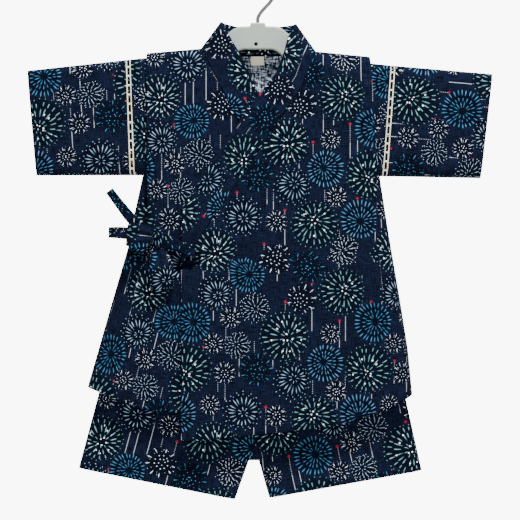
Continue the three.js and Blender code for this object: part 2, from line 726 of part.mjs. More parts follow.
const tieBand = [
  { x: -66, drop: 242.5, out: -23.7, wide: 12 },
  { x: -80, drop: 239.5, out: -24, wide: 12 },
  { x: -90, drop: 234.5, out: -25.6, wide: 11.5 },
  { x: -100, drop: 229.5, out: -28, wide: 10 },
];
const tieBandSide = [
  { x: -113.4, drop: 230, out: -19.6, wide: 9 },
  { x: -119.5, drop: 230, out: -19.5, wide: 10.5 },
  { x: -125, drop: 229.5, out: -18.2, wide: 11 },
  { x: -133, drop: 229, out: -14.4, wide: 11 },
];
const tailUpper = [
  { x: -113.4, drop: 223, out: -24.7, wide: 10 },
  { x: -124, drop: 214, out: -23.8, wide: 10.5 },
  { x: -136, drop: 203, out: -19.5, wide: 10.5 },
  { x: -147, drop: 190.5, out: -17, wide: 9.5 },
  { x: -158.9, drop: 177.4, out: -15.2, wide: 8.8 },
];
const tailSide = [
  { x: -113.4, drop: 228, out: -22.1, wide: 9 },
  { x: -122, drop: 225, out: -21.8, wide: 12 },
  { x: -137, drop: 223.8, out: -17.4, wide: 13 },
  { x: -150, drop: 222.8, out: -14.8, wide: 12.5 },
  { x: -160.2, drop: 222.6, out: -13.6, wide: 11.5 },
];
const strips = { band: tieBand, band_side: tieBandSide, tail_upper: tailUpper, tail_side: tailSide };
for (const [name, stations] of Object.entries(strips)) {
  addPiece(`tie_${name}`, strip(stations, tieCloth), "print");
}

// A bow's loop: out from the knot on its front, round its far end and back behind
const loopShape = [
  { along: 0, out: 0.18, wide: 0.42 },
  { along: 0.2, out: 0.62, wide: 0.74 },
  { along: 0.5, out: 1, wide: 1 },
  { along: 0.8, out: 0.86, wide: 0.96 },
  { along: 0.96, out: 0.45, wide: 0.88 },
  { along: 1, out: 0, wide: 0.86 },
];
function loop({ x, drop, out, length, wide, deep, turn }) {
  const ahead = new THREE.Vector3(Math.cos(turn), 0, Math.sin(turn));
  const across = new THREE.Vector3(-ahead.z, 0, ahead.x);
  const rowAt = (step, face) => [-1, -0.4, 0.4, 1].map((part) => {
    const curl = 1 - 0.16 * part * part;
    return new THREE.Vector3(x, out + (face * deep * step.out * curl) / 2, heightOf(drop))
      .addScaledVector(ahead, length * step.along)
      .addScaledVector(across, (part * wide * step.wide) / 2);
  });
  const front = loopShape.map((step) => rowAt(step, -1));
  const back = loopShape.slice(0, -1).map((step) => rowAt(step, 1));
  return wallGeometry([...front, ...back.reverse()], 1.4);
}
addPiece("tie_loop_side", loop({
  x: -112.6, drop: 228, out: -30.6, length: 26.5, wide: 27, deep: 6.5, turn: Math.PI * 0.97,
}), "print");
addPiece("tie_loop_low", loop({
  x: -105.6, drop: 240, out: -28, length: 43, wide: 27, deep: 9, turn: -Math.PI * 0.465,
}), "print");

// The knot: a round turn of the band, fuller in its middle
function knotGeometry() {
  const geometry = new THREE.SphereGeometry(1, 14, 9);
  geometry.rotateX(Math.PI / 2);
  geometry.scale(knot.wide, knot.deep, knot.high);
  geometry.translate(knot.x, knot.out, heightOf(knot.drop));
  return geometry;
}
addPiece("tie_knot", knotGeometry(), "print");

// ---- neck label ----
const labelPlace = { x: -0.3, drop: 31.4 };
const label = new THREE.BoxGeometry(labelSize.wide, labelSize.thick, labelSize.high);
const labelBack = read(bodyDepth, "drop", labelPlace.drop, "half") - cloth / 2 - seamGap;
label.translate(labelPlace.x, labelBack - labelSize.thick,
  heightOf(labelPlace.drop + labelSize.high / 2));
addPiece("neck_label", label, "label");

// ---- hanger ----
const wasm = await Module();
wasm.setup();

function toManifold(geometry) {
  const bare = geometry.clone();
  bare.deleteAttribute("normal");
  bare.deleteAttribute("uv");
  const merged = mergeVertices(bare, 1e-4);
  return new wasm.Manifold(new wasm.Mesh({
    numProp: 3,
    vertProperties: new Float32Array(merged.attributes.position.array),
    triVerts: new Uint32Array(merged.index.array),
  }));
}

function toGeometry(solid) {
  const mesh = solid.getMesh();
  const geometry = new THREE.BufferGeometry();
  geometry.setAttribute("position", new THREE.BufferAttribute(mesh.vertProperties, 3));
  geometry.setIndex(new THREE.BufferAttribute(mesh.triVerts, 1));
  geometry.computeVertexNormals();
  return geometry;
}

function hangerGeometry() {
  const bevel = 1.6;
  const right = hangerHalf.map((row) => new THREE.Vector2(row.x, -row.drop));
  const left = [...right].reverse().map((point) => new THREE.Vector2(-point.x, point.y));
  const plate = new THREE.ExtrudeGeometry(new THREE.Shape([...right, ...left].reverse()), {
    depth: hangerThick - 2 * bevel, bevelThickness: bevel, bevelSize: bevel,
    bevelOffset: -bevel, bevelSegments: 2,
  });
  plate.translate(0, 0, bevel - hangerThick / 2);
  const hole = new THREE.CylinderGeometry(hangerHole / 2, hangerHole / 2, 2 * hangerThick, 12);
  hole.rotateX(Math.PI / 2);
  hole.translate(-1.9, -19.3, 0);
  const cut = toGeometry(toManifold(plate).subtract(toManifold(hole)));
  cut.rotateX(Math.PI / 2);
  cut.translate(0, 0, -hookRise);
  return cut;
}
addPiece("hanger_body", hangerGeometry(), "plastic");

// The hook: a stem out of the hanger's boss, then round over the rail
function hookGeometry() {
  const centre = -(hookRise - (hookRise - hookRadius + hookWire / 2));
  const points = [
    new THREE.Vector3(0, 0, heightOf(-3.8) + seamGap),
    new THREE.Vector3(0, 0, heightOf(-9)),
    new THREE.Vector3(3.6, 0, heightOf(-15.5)),
  ];
  for (let degrees = -42; degrees <= 195; degrees += 18) {
    const angle = THREE.MathUtils.degToRad(degrees);
    points.push(new THREE.Vector3(
      hookRadius * Math.cos(angle), 0, centre + hookRadius * Math.sin(angle)));
  }
  const wire = new THREE.Shape().absarc(0, 0, hookWire / 2, 0, 2 * Math.PI);
  return new THREE.ExtrudeGeometry(wire, {
    steps: 32, curveSegments: 4, bevelEnabled: false,
    extrudePath: new THREE.CatmullRomCurve3(points),
  });
}
addPiece("hanger_hook", hookGeometry(), "wire");

export default model;
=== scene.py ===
import math
import bmesh
import bpy
import numpy as np
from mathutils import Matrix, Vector


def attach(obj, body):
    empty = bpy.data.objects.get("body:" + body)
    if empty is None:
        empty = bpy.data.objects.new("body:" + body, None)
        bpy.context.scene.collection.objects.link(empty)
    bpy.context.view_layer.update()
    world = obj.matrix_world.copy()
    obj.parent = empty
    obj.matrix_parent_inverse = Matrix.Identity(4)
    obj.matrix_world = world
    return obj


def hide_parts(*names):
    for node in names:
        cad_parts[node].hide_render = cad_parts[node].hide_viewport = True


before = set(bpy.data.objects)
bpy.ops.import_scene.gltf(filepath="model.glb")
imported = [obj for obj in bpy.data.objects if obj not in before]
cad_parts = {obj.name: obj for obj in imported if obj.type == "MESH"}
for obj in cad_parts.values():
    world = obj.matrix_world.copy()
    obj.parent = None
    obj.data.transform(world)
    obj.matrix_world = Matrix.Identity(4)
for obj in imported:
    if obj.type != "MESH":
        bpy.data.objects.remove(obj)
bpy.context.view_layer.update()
print("frame loaded")

mm = 0.001
hookRise = 53.0        # from the hanger's top edge up to the inside of the hook

# Tables are in millimetres. A drop is a distance below the hanger's top edge, and an out
# is a distance from the centre line towards the side that the table describes.
bodyDepth = [(-10, 12), (60, 12.5), (160, 15), (260, 18.5), (340, 18.5), (450, 17)]
leftSide = dict(
    sign=-1, neckTop=(38.7, -4.9), tuckStep=4.8, armpit=(123.6, 160.4),
    shoulder=[(60.3, 24.3), (118.6, 29.2), (250, 43.5)],
    lace=((139.6, 36.4), (135.1, 160.4)),
    cuff=((248.2, 48.1), (238.5, 160.6)),
    seam=[(160.4, 123.6), (202, 132.8), (233, 138), (295, 156.2), (371, 178), (389, 183.2)],
    # drop, where the tuck's fold lies, where its strip turns out again, layers deep
    tuck=[(20, 118.6, 100, 2), (140, 118.2, 100, 2), (166, 117.6, 104, 4), (200, 117, 108, 4.6),
          (222, 117.5, 114, 3.4), (256, 119, 125, 1), (330, 124, 140, 0), (450, 134, 152, 0)])
rightSide = dict(
    sign=1, neckTop=(40.2, -2.7), tuckStep=7, armpit=(131.2, 161.5),
    shoulder=[(61.5, 27.3), (118.7, 32.9), (254, 46.8)],
    lace=((145.6, 41.6), (136.8, 161.5)),
    cuff=((252.9, 51.8), (240.2, 163.6)),
    seam=[(161.5, 131.2), (219, 140.2), (305, 154.9), (348, 161.7), (397, 166.5)],
    tuck=[(20, 118.7, 102, 2), (76, 123.3, 104, 2), (133, 125.5, 107, 2), (158, 126, 110, 3.4),
          (180, 126.5, 117, 3), (205, 126, 127, 1.4), (290, 124, 134, 0), (450, 134, 148, 0)])

# The seam between the collar and each front, then the front's free edge (x, drop)
underSeam = [(-60.3, 24.3), (-41.9, 61), (-23.5, 97.7), (10.6, 144.6), (36.5, 183), (80, 250),
             (82, 262), (82, 470)]
overSeam = [(61.5, 27.3), (45.6, 67.8), (19.7, 106.3), (-6.3, 144.6), (-32.2, 183),
            (-82.9, 258.7), (-82.4, 270), (-81.9, 470)]
underHem = [(-183.2, 388.8), (-169.5, 393.7), (-153.1, 400.1), (-128.3, 410.4), (-108.9, 414.5),
            (-82.9, 415.8), (90, 417)]
overHem = [(-81.9, 445), (-62.4, 445.5), (-31.1, 441.7), (28.3, 435.8), (82.3, 429.8),
           (117.9, 419), (140.6, 410.9), (158.8, 403.4), (166.5, 396.9)]
backHem = [(-183.2, 388.8), (-169.5, 393), (-110, 411), (0, 424), (110, 416), (158.8, 403),
           (166.5, 396.9)]
panel = dict(thick=0.8, seamHalf=0.42, layerStep=1.9, overLift=3.2, laceWidth=4.8, laceGap=0.1,
             waves=0.28, flatNeck=60.0)
farOut = 400.0        # past the end of every table, where its last row holds


# For whole arrays: held from 0 to 1, a share of the way from a to b, and an S-shaped step
# from 0 at the start to 1 at the end
def clamp(value):
    return np.minimum(1.0, np.maximum(0.0, value))


def mix(a, b, share):
    return a + (b - a) * share


def smooth(value, start, end):
    share = clamp((value - start) / (end - start))
    return share * share * (3 - 2 * share)


# A table's column read at a key, straight between its rows and held past its ends
def readAt(rows, at, key=0, column=1):
    table = np.array(sorted(rows, key=lambda row: row[key]), float)
    return np.interp(at, table[:, key], table[:, column])


# Whole rows of numbers read at places along them, straight between rows
def rowsAt(at, places, rows):
    return np.stack([np.interp(at, places, column) for column in rows.T], -1)


# Arrays that broadcast together, stacked as the coordinates of points
def pointsOf(*parts):
    return np.stack(np.broadcast_arrays(*parts), -1)


# Each vector divided by its own length
def unit(vectors):
    return vectors / np.maximum(1e-9, np.linalg.norm(vectors, axis=-1, keepdims=True))


# Steps from 0 to reach that start small, for a fold's turn: reach times one less a cosine
def turnSteps(count, reach):
    return (1 - np.cos(np.linspace(0, np.pi / 2, count))) * reach


# A quarter of a circle: 0 at a closed edge, 1 at a distance of one bend from it
def quarter(inset, bend):
    rest = 1 - clamp(inset / bend)
    return np.sqrt(1 - rest * rest)


# A closed edge: half of the depth comes within near of the fold, the rest within far
def edgeRound(inset, near=5.0, far=30.0):
    return 0.5 * quarter(inset, near) + 0.5 * quarter(inset, far)


# Relief dies out towards a closed edge, over the last 14 mm
def reliefFade(inset):
    return smooth(inset, 0, 14)


# Soft creases. Each is a line with a width and a depth: the depth times a bell curve of the
# distance from the line, fading out towards both of its ends
def creaseLift(creases, x, drop):
    total = np.zeros_like(x)
    for startX, startDrop, endX, endDrop, width, depth in creases:
        runX, runDrop = endX - startX, endDrop - startDrop
        length = math.hypot(runX, runDrop)
        along = ((x - startX) * runX + (drop - startDrop) * runDrop) / length ** 2
        away = ((x - startX) * runDrop - (drop - startDrop) * runX) / length
        fade = smooth(along, -0.15, 0.3) * (1 - smooth(along, 0.7, 1.15))
        total += depth * np.exp(-(away / width) ** 2) * fade
    return total


# The cloth's slow unevenness: three long waves in each direction, out of step
def slowWaves(x, drop, height, shift):
    waves = np.sin(x / 23.0 + shift) * np.sin(drop / 61.0 + 2.1 * shift)
    waves += 0.7 * np.sin((x + 0.4 * drop) / 37.0 + 1.7 * shift)
    waves += 0.5 * np.sin((x - 0.3 * drop) / 13.0 + 3.1 * shift) * np.sin(drop / 45.0 + shift)
    return height * waves


# The hem is turned up and stitched: a bell-shaped groove along the stitching, the cloth a
# little fuller below it
hemFold = dict(high=20.0, groove=0.35, width=1.6, full=0.25, ease=3.0)


def hemGroove(above):
    line = np.exp(-((above - hemFold["high"]) / hemFold["width"]) ** 2)
    return hemFold["groove"] * line - hemFold["full"] * smooth(hemFold["high"] - above, 0, hemFold["ease"])


# A cloth's relief: creases and waves, less the groove of its hem
def clothRelief(creases, x, drop, waves, shift, aboveHem):
    return creaseLift(creases, x, drop) + slowWaves(x, drop, waves, shift) - hemGroove(aboveHem)


# A drop as a height, with nought inside the hook
def heightOf(drop):
    return -hookRise - drop


# The shoulder's fold, lower by the tuck's step where two layers or more lie under it
def shoulderDrop(side, out, layers):
    return readAt(side["shoulder"], out) + side["tuckStep"] * np.minimum(layers, 2) / 2


# How far a point lies inside the closed edges: neck side, shoulder fold, underarm, side seam
def insetOf(x, drop, layers):
    bySide = []
    out = np.abs(x)
    for side in (leftSide, rightSide):
        (topOut, topDrop), (footOut, footDrop) = side["neckTop"], side["shoulder"][0]
        run = math.hypot(footOut - topOut, footDrop - topDrop)
        neck = ((footOut - out) * (footDrop - topDrop) + (drop - footDrop) * (footOut - topOut)) / run
        above = np.where(out < footOut, neck, drop - shoulderDrop(side, out, layers))
        armOut, armDrop = side["armpit"]
        underarm = np.hypot(np.maximum(0, armOut - out), armDrop - drop)
        below = np.where(drop >= armDrop, readAt(side["seam"], drop) - out, underarm)
        bySide.append(np.maximum(0, np.minimum(above, below)))
    return np.where(x < 0, bySide[0], bySide[1])


# The jacket's cloth at x and drop: the body's depth, less the tuck's layers, plus the lift,
# rounded over at closed edges. face is -1 in front and 1 behind
def jacketPoints(x, drop, face, layers=0.0, lift=0.0, relief=0.0):
    inset = insetOf(x, drop, layers)
    depth = readAt(bodyDepth, drop) - layers * panel["layerStep"] + lift
    y = np.maximum(panel["seamHalf"], depth * edgeRound(inset) + relief * reliefFade(inset))
    return pointsOf(x, face * y, heightOf(drop))


# Distance along each row of a grid, from a chosen column outwards
def rowLength(points, start=0):
    steps = np.linalg.norm(np.diff(points, axis=1), axis=2)
    length = np.concatenate([np.zeros((len(points), 1)), np.cumsum(steps, axis=1)], axis=1)
    return length - length[:, [start]]


# The same along a single line of points, and round rows that close on themselves
def pathLength(points):
    return rowLength(points[None])[0]


def closedLength(points):
    return rowLength(np.concatenate([points, points[:, :1]], axis=1))


# One face's columns and the way back over the other face, with -1 in front and 1 behind
def roundTrip(row):
    face = np.concatenate([-np.ones(len(row)), np.ones(len(row) - 2)])
    return np.concatenate([row, row[-2:0:-1]])[None, :], face[None, :]


# The corners of a grid's faces, where stride is the number of points in a row. When there
# are as many faces in a row as points, the last one joins the first
def gridFaces(rows, count, stride, first=0):
    r, c = np.meshgrid(np.arange(rows - 1), np.arange(count), indexing="ij")
    corners = [(0, 0), (0, 1), (1, 1), (1, 0)]
    faces = np.stack([(r + i) * stride + (c + j) % stride for i, j in corners], -1)
    return faces.reshape(-1, 4) + first


# Joins points that coincide and drops the faces that vanish, or turns all faces outwards
def cleanMesh(mesh, weld):
    work = bmesh.new()
    work.from_mesh(mesh)
    if weld:
        bmesh.ops.remove_doubles(work, verts=work.verts, dist=0.00001)
        bmesh.ops.dissolve_degenerate(work, edges=work.edges, dist=0.000001)
    else:
        bmesh.ops.recalc_face_normals(work, faces=work.faces)
    work.to_mesh(mesh)
    work.free()


# An object in the scene that shows a mesh, a lamp or a camera
def addObject(name, data):
    item = bpy.data.objects.new(name, data)
    bpy.context.scene.collection.objects.link(item)
    return item


# A smooth mesh as a piece that belongs to the root body and stands in for one solid
def addPiece(name, mesh, materials, node):
    for material in materials:
        mesh.materials.append(material)
    mesh.shade_smooth()
    piece = addObject(name, mesh)
    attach(piece, "root")
    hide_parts(node)
    return piece


# A mesh over a grid of points in millimetres, with the cloth's own flat coordinates in
# metres as its UV map. A closed grid joins its last column to its first, and then the UV
# grid has one column more. Faces turn away from their row's middle or the plane y = middle
def gridPiece(name, node, points, flatUv, materials, closed=False, middle=0.0, weld=False):
    rows, columns = points.shape[:2]
    count = columns if closed else columns - 1
    faces = gridFaces(rows, count, columns)
    spots = gridFaces(rows, count, flatUv.shape[1])
    flat = points.reshape(-1, 3)
    a, b, c, d = [flat[faces[:, k]] for k in range(4)]
    rowMiddle = points.mean(axis=1)[np.repeat(np.arange(rows - 1), count)]
    away = (a + c) / 2 - rowMiddle if closed else ((a + c) / 2 - [0, middle, 0]) * [0, 1, 0]
    if (np.cross(b - a, d - a) * away).sum() < 0:
        faces, spots = faces[:, ::-1], spots[:, ::-1]
    mesh = bpy.data.meshes.new(name)
    mesh.from_pydata((flat * mm).tolist(), [], faces.tolist())
    layer = mesh.uv_layers.new(name="cloth")
    layer.data.foreach_set("uv", flatUv.reshape(-1, 2)[spots.ravel()].ravel())
    if weld:
        cleanMesh(mesh, weld=True)
    return addPiece(name, mesh, materials, node)


# A single cloth, thickened half each way to a wall, its inner side in the second material
def clothPiece(name, grid, material, middle=0.0, closed=False):
    piece = gridPiece(name + "_cloth", name, *grid, [material, wrong], closed=closed, middle=middle)
    wall = piece.modifiers.new("wall", "SOLIDIFY")
    wall.thickness = panel["thick"] * mm
    wall.offset = 0
    wall.use_even_offset = False
    wall.material_offset = 1
    wall.material_offset_rim = 0


# A folded band round a middle grid: each point moves both ways along the grid's normal by
# half the thickness, less towards the edges by a quarter circle, so all edges are closed
def foldedPiece(name, node, middle, flatUv, thick, material, flat, restsOn):
    normal = unit(np.cross(np.gradient(middle, axis=1), np.gradient(middle, axis=0)))
    fromSide = rowLength(middle)
    fromEnd = rowLength(middle.transpose(1, 0, 2)).T
    inset = np.minimum(np.minimum(fromSide, fromSide[:, -1:] - fromSide),
                       np.minimum(fromEnd, fromEnd[-1:] - fromEnd))
    half = thick / 2 * quarter(inset, thick / 2)
    outer = middle + normal * half[..., None]
    inner = middle - normal * half[..., None]
    points = np.concatenate([outer, inner[:, -2:0:-1]], axis=1)
    uv = np.concatenate([flatUv, flatUv[:, -2::-1]], axis=1)
    piece = gridPiece(name, node, points, uv, [material], closed=True, weld=True)


# A node's output that adds, multiplies and compares like a number, so that the nodes of a
# pattern are written as its formula
class Field:
    def __init__(self, nodes, socket):
        self.nodes = nodes
        self.socket = socket

    def __add__(self, other):
        return self.nodes.math("ADD", self, other)

    def __sub__(self, other):
        return self.nodes.math("SUBTRACT", self, other)

    def __rsub__(self, other):
        return self.nodes.math("SUBTRACT", other, self)

    def __mul__(self, other):
        return self.nodes.math("MULTIPLY", self, other)

    def __truediv__(self, other):
        return self.nodes.math("DIVIDE", self, other)

    def __gt__(self, other):
        return self.nodes.math("GREATER_THAN", self, other)

    def __lt__(self, other):
        return self.nodes.math("LESS_THAN", self, other)

    def __abs__(self):
        return self.nodes.math("ABSOLUTE", self)

    __radd__ = __add__
    __rmul__ = __mul__


# Shorthand for a tree's nodes: each method adds a node and gives its output as a field
class Nodes:
    def __init__(self, tree):
        self.tree = tree

    def add(self, kind, **settings):
        node = self.tree.nodes.new(kind)
        for name, value in settings.items():
            setattr(node, name, value)
        return node

    def put(self, socket, value):
        if isinstance(value, Field):
            self.tree.links.new(value.socket, socket)
        elif value is not None:
            socket.default_value = rgb(value) if isinstance(value, str) else value

    # Sets a node's inputs in their order and gives its outputs. None leaves an input alone
    def fill(self, node, *values):
        for socket, value in zip(node.inputs, values):
            self.put(socket, value)
        return [Field(self, socket) for socket in node.outputs]

    def math(self, operation, *values, clamped=False):
        return self.fill(self.add("ShaderNodeMath", operation=operation, use_clamp=clamped), *values)[0]

    def vector(self, operation, *values):
        return self.fill(self.add("ShaderNodeVectorMath", operation=operation), *values)

    def hypot(self, a, b):
        return self.math("SQRT", a * a + b * b)

    def noise(self, vector, scale, detail=2.0, dimensions="3D"):
        node = self.add("ShaderNodeTexNoise", noise_dimensions=dimensions)
        return self.fill(node, vector, None, scale, detail)[0]

    # A draw and a colour of three draws, the same wherever the value or vector is the same
    def random(self, value=None, vector=None):
        dimensions = "1D" if vector is None else "2D"
        return self.fill(self.add("ShaderNodeTexWhiteNoise", noise_dimensions=dimensions), vector, value)

    # The three parts of a colour or of a vector
    def parts(self, value, kind="Color"):
        return self.fill(self.add("ShaderNodeSeparate" + kind), value)

    def blend(self, share, a, b, kind="RGBA"):
        node = self.add("ShaderNodeMix", data_type=kind)
        first, out = (6, 2) if kind == "RGBA" else (4, 1)
        for place, value in ((0, share), (first, a), (first + 1, b)):
            self.put(node.inputs[place], value)
        return Field(self, node.outputs[out])

    def step(self, value, low, high, toLow=0.0, toHigh=1.0):
        node = self.add("ShaderNodeMapRange", interpolation_type="SMOOTHSTEP")
        return self.fill(node, value, low, high, toLow, toHigh)[0]

    def bump(self, height, strength, distance):
        node = self.add("ShaderNodeBump")
        for label, value in (("Strength", strength), ("Distance", distance), ("Height", height)):
            self.put(node.inputs[label], value)
        return Field(self, node.outputs[0])

    def objectSpace(self):
        return Field(self, self.add("ShaderNodeTexCoord").outputs["Object"])


# A colour code's three channels, made linear
def rgb(code):
    channels = [int(code[i:i + 2], 16) / 255 for i in (1, 3, 5)]
    return tuple(v / 12.92 if v <= 0.04045 else ((v + 0.055) / 1.055) ** 2.4 for v in channels) + (1,)


# An empty node group: its nodes, what it is given and its output sockets
def groupOf(name, inputs, outputs):
    tree = bpy.data.node_groups.new(name, "ShaderNodeTree")
    for way, sockets in (("INPUT", inputs), ("OUTPUT", outputs)):
        for label, kind in sockets.items():
            tree.interface.new_socket(label, in_out=way, socket_type="NodeSocket" + kind)
    n = Nodes(tree)
    given = n.fill(n.add("NodeGroupInput"))
    return n, given[:len(inputs)], n.add("NodeGroupOutput").inputs


# The kinds of firework. Each ring of strokes has its middle radius, half length and half
# width as shares of the firework's radius, and how many strokes go round, with a half more
# where they stand between those of the ring before. The last two rings are loose sparks
noRing = (0, 0, 0, 0)
fireworks = dict(
    doubleBurst=dict(
        inks=("#608ba5", "#3f7495"), edge="#0c3556", spark="#6fa5bd", radius=20.0, count=4,
        rings=[(0.32, 0.10, 0.019, 12), (0.55, 0.07, 0.020, 19.5), (0.85, 0.12, 0.028, 28),
               noRing, noRing, noRing]),
    bigBurst=dict(
        inks=("#679791", "#90afb6"), edge="#1f4955", spark="#fbf9fb", radius=26.0, count=5,
        rings=[(0.26, 0.05, 0.014, 9), (0.53, 0.11, 0.021, 17), (0.78, 0.06, 0.019, 21.5),
               (0.95, 0.0, 0.018, 29), (0.14, 0.0, 0.033, 5), (0.56, 0.0, 0.031, 8)]),
    smallBurst=dict(
        inks=("#f0f5ff", "#d2dced"), edge="#3f4c60", spark="#eef3fb", radius=11.0, count=7,
        rings=[(0.77, 0.16, 0.036, 8), (0.68, 0.11, 0.018, 8.5), (0.97, 0.0, 0.022, 16.5),
               (0.32, 0.0, 0.040, 8), (0.08, 0.0, 0.040, 2), noRing]),
    seedHead=dict(
        inks=("#d6dfec", "#9fb3c9"), edge="#31475b", spark="#eaf1f8", radius=14.8, count=3,
        rings=[(0.22, 0.07, 0.018, 7), (0.52, 0.13, 0.023, 12), (0.72, 0.07, 0.020, 13.5),
               (0.88, 0.02, 0.020, 19), (0.98, 0.0, 0.020, 25.5), noRing]),
    dottedStar=dict(
        inks=("#2f6b8c", "#3b7a9b"), edge="#0d2d45", spark="#4a86a6", radius=17.5, count=2,
        rings=[(0.38, 0.0, 0.034, 9), (0.85, 0.11, 0.027, 9), (0.72, 0.0, 0.018, 9.5),
               (0.88, 0.0, 0.018, 9.5), (0.17, 0.0, 0.028, 5), (0.56, 0.0, 0.020, 9)]),
    iceBurst=dict(
        inks=("#83a4bc", "#b0c1d4"), edge="#20425c", spark="#e4eef2", radius=20.0, count=3,
        rings=[(0.20, 0.06, 0.017, 7), (0.57, 0.15, 0.024, 19), (0.83, 0.0, 0.022, 19.5),
               (0.96, 0.0, 0.026, 17), noRing, noRing]),
    whiteStar=dict(
        inks=("#eef3ff", "#d2dbeb"), edge="#3f4c60", spark="#eaf0fa", radius=16.5, count=2,
        rings=[(0.20, 0.0, 0.033, 5), (0.42, 0.0, 0.036, 10), (0.82, 0.13, 0.028, 9),
               (0.70, 0.0, 0.018, 9.5), (0.90, 0.0, 0.018, 9.5), noRing]))
printTile = dict(wide=196.0, high=208.0, spacing=1.02, apart=1.45, rounds=1500, push=0.18,
                 size=(0.93, 1.07), seed=4)
# A ring's shape travels as a colour and a firework's kind and number as one small length
coded = dict(width=8.0, count=40.0, kinds=8, kind=1000.0, number=100000.0)


# Places the fireworks in a tile that repeats. All pairs that lie too close push each other
# apart a little in every round, measured round the tile's edges
def fireworkPlaces():
    draw = np.random.default_rng(printTile["seed"])
    size = np.array([printTile["wide"], printTile["high"]])
    kinds = np.concatenate([[k] * f["count"] for k, f in enumerate(fireworks.values())])
    radii = np.array([f["radius"] for f in fireworks.values()])[kinds]
    radii = radii * draw.uniform(*printTile["size"], len(radii))
    places = draw.uniform(0, 1, (len(kinds), 2)) * size
    reach = (radii[:, None] + radii[None, :]) * printTile["spacing"]
    reach = np.where(kinds[:, None] == kinds[None, :], reach * printTile["apart"], reach)
    for _ in range(printTile["rounds"]):
        gap = places[:, None] - places[None, :]
        gap -= size * np.round(gap / size)
        length = np.linalg.norm(gap, axis=2) + np.eye(len(kinds)) * 1e6
        push = np.maximum(0, reach - length)
        moves = (gap / length[..., None] * push[..., None]).sum(axis=1) * printTile["push"]
        places = (places + moves) % size
    return places, radii, kinds


# Each stroke's length, strength and place vary. It is thickest a little outside its middle
stroke = dict(shortest=0.70, longer=0.55, faintest=0.55, stronger=0.45, shift=0.16,
              thickest=0.03, full=1.2, taper=5.5, least=0.3, core=(-0.004, 0.014), edge=(-0.016, 0.004))
# How far a firework's heart lies off its centre, and how loosely its strokes and sparks lie
burst = dict(offCentre=0.42, loose=0.35, sparkLoose=1.1, sparkGain=1.6, sparkRings=(4, 5),
             edgeStrength=0.8, halo=(0.75, 1.08))


# One ring of strokes: turns and radius in, ink out. The stroke's index picks its own small
# changes of place, length and strength, and its distance to the pixel is that to a capsule
def makeStrokeRing():
    n, (turns, radius, shape, code, seed, loose), result = groupOf(
        "strokeRing",
        dict(Turns="Float", Radius="Float", Shape="Color", Code="Float", Seed="Float", Loose="Float"),
        dict(Core="Float", Edge="Float"))
    ringAt, halfLength, halfWidth = n.parts(shape)
    count = code * coded["count"]
    number = n.math("FLOOR", count + 0.25)
    exists = number > 0.5
    place = turns * number + (count - number)
    number = n.math("MAXIMUM", number, 1.0)
    index = n.math("FLOORED_MODULO", n.math("FLOOR", place), number)
    own = n.fill(n.add("ShaderNodeCombineXYZ"), index, seed)[0]
    one, two, three = n.parts(n.random(vector=own)[1])
    beside = n.math("FRACT", place) - 0.5 + (one - 0.5) * loose
    sideways = beside / number * (radius * (2 * math.pi))
    outward = radius - (ringAt + (two - 0.5) * (loose * stroke["shift"]))
    half = halfLength * (three * stroke["longer"] + stroke["shortest"])
    away = n.hypot(sideways, n.math("MAXIMUM", abs(outward) - half, 0.0))
    taper = abs(outward - stroke["thickest"]) * -stroke["taper"] + stroke["full"]
    inside = halfWidth / coded["width"] * n.math("MAXIMUM", taper, stroke["least"]) - away
    strength = n.math("FRACT", one * 7.3) * stroke["stronger"] + stroke["faintest"]
    n.put(result[0], n.step(inside, *stroke["core"]) * (strength * exists))
    n.put(result[1], n.step(inside, *stroke["edge"]) * exists)
    return n.tree


# A colour and an alpha for each kind of firework: a ramp with a flat stretch for each
def byKind(n, kindAt, colors):
    node = n.add("ShaderNodeValToRGB")
    node.color_ramp.interpolation = "CONSTANT"
    elements = node.color_ramp.elements
    for k, color in enumerate(colors):
        element = elements[k] if k < 2 else elements.new(k / coded["kinds"])
        element.position = k / coded["kinds"]
        element.color = rgb(color) if isinstance(color, str) else color
    return n.fill(node, kindAt)


# The nearest firework to a place on the tile, by distance over radius. Its own coordinates
# come out, with its kind and number coded in the third
def nearestFirework(n, flat):
    places, radii, kinds = fireworkPlaces()
    halfTile = np.array([printTile["wide"], printTile["high"]]) * mm / 2
    nearest, chosen = 9.0, (0.0, 0.0, 0.0)
    for i, (place, radius, kind) in enumerate(zip(places * mm, radii * mm, kinds)):
        local = n.vector("WRAP", flat, (*(place + halfTile), 1), (*(place - halfTile), -1))[0]
        code = kind / coded["kind"] + i / coded["number"]
        local = n.vector("MULTIPLY_ADD", local, (1 / radius,) * 3, (*(-place / radius), code))[0]
        away = n.vector("LENGTH", local)[1]
        chosen = n.blend(away < nearest, chosen, local, "VECTOR")
        nearest = n.math("MINIMUM", away, nearest)
    return nearest, chosen


# Rising trails in the gaps: in each column of cells a thin line runs solid, then dotted, to
# a red spark on some of them. The odd factors here and in the rings keep the draws apart
trails = dict(pitch=13.0, high=82.0, half=0.38, dot=1.9, spark=1.6, strength=0.72, redStrength=0.9,
              startSpread=0.25, solidSpread=0.45, dotted=0.25, dotStrength=0.8, redShare=0.5, margin=0.2,
              lineSoft=(0.6, 1.3), sparkSoft=(0.8, 1.1), clear=(1.0, 1.05), redClear=(0.98, 1.02),
              ink="#a6acb6", red="#81132a")


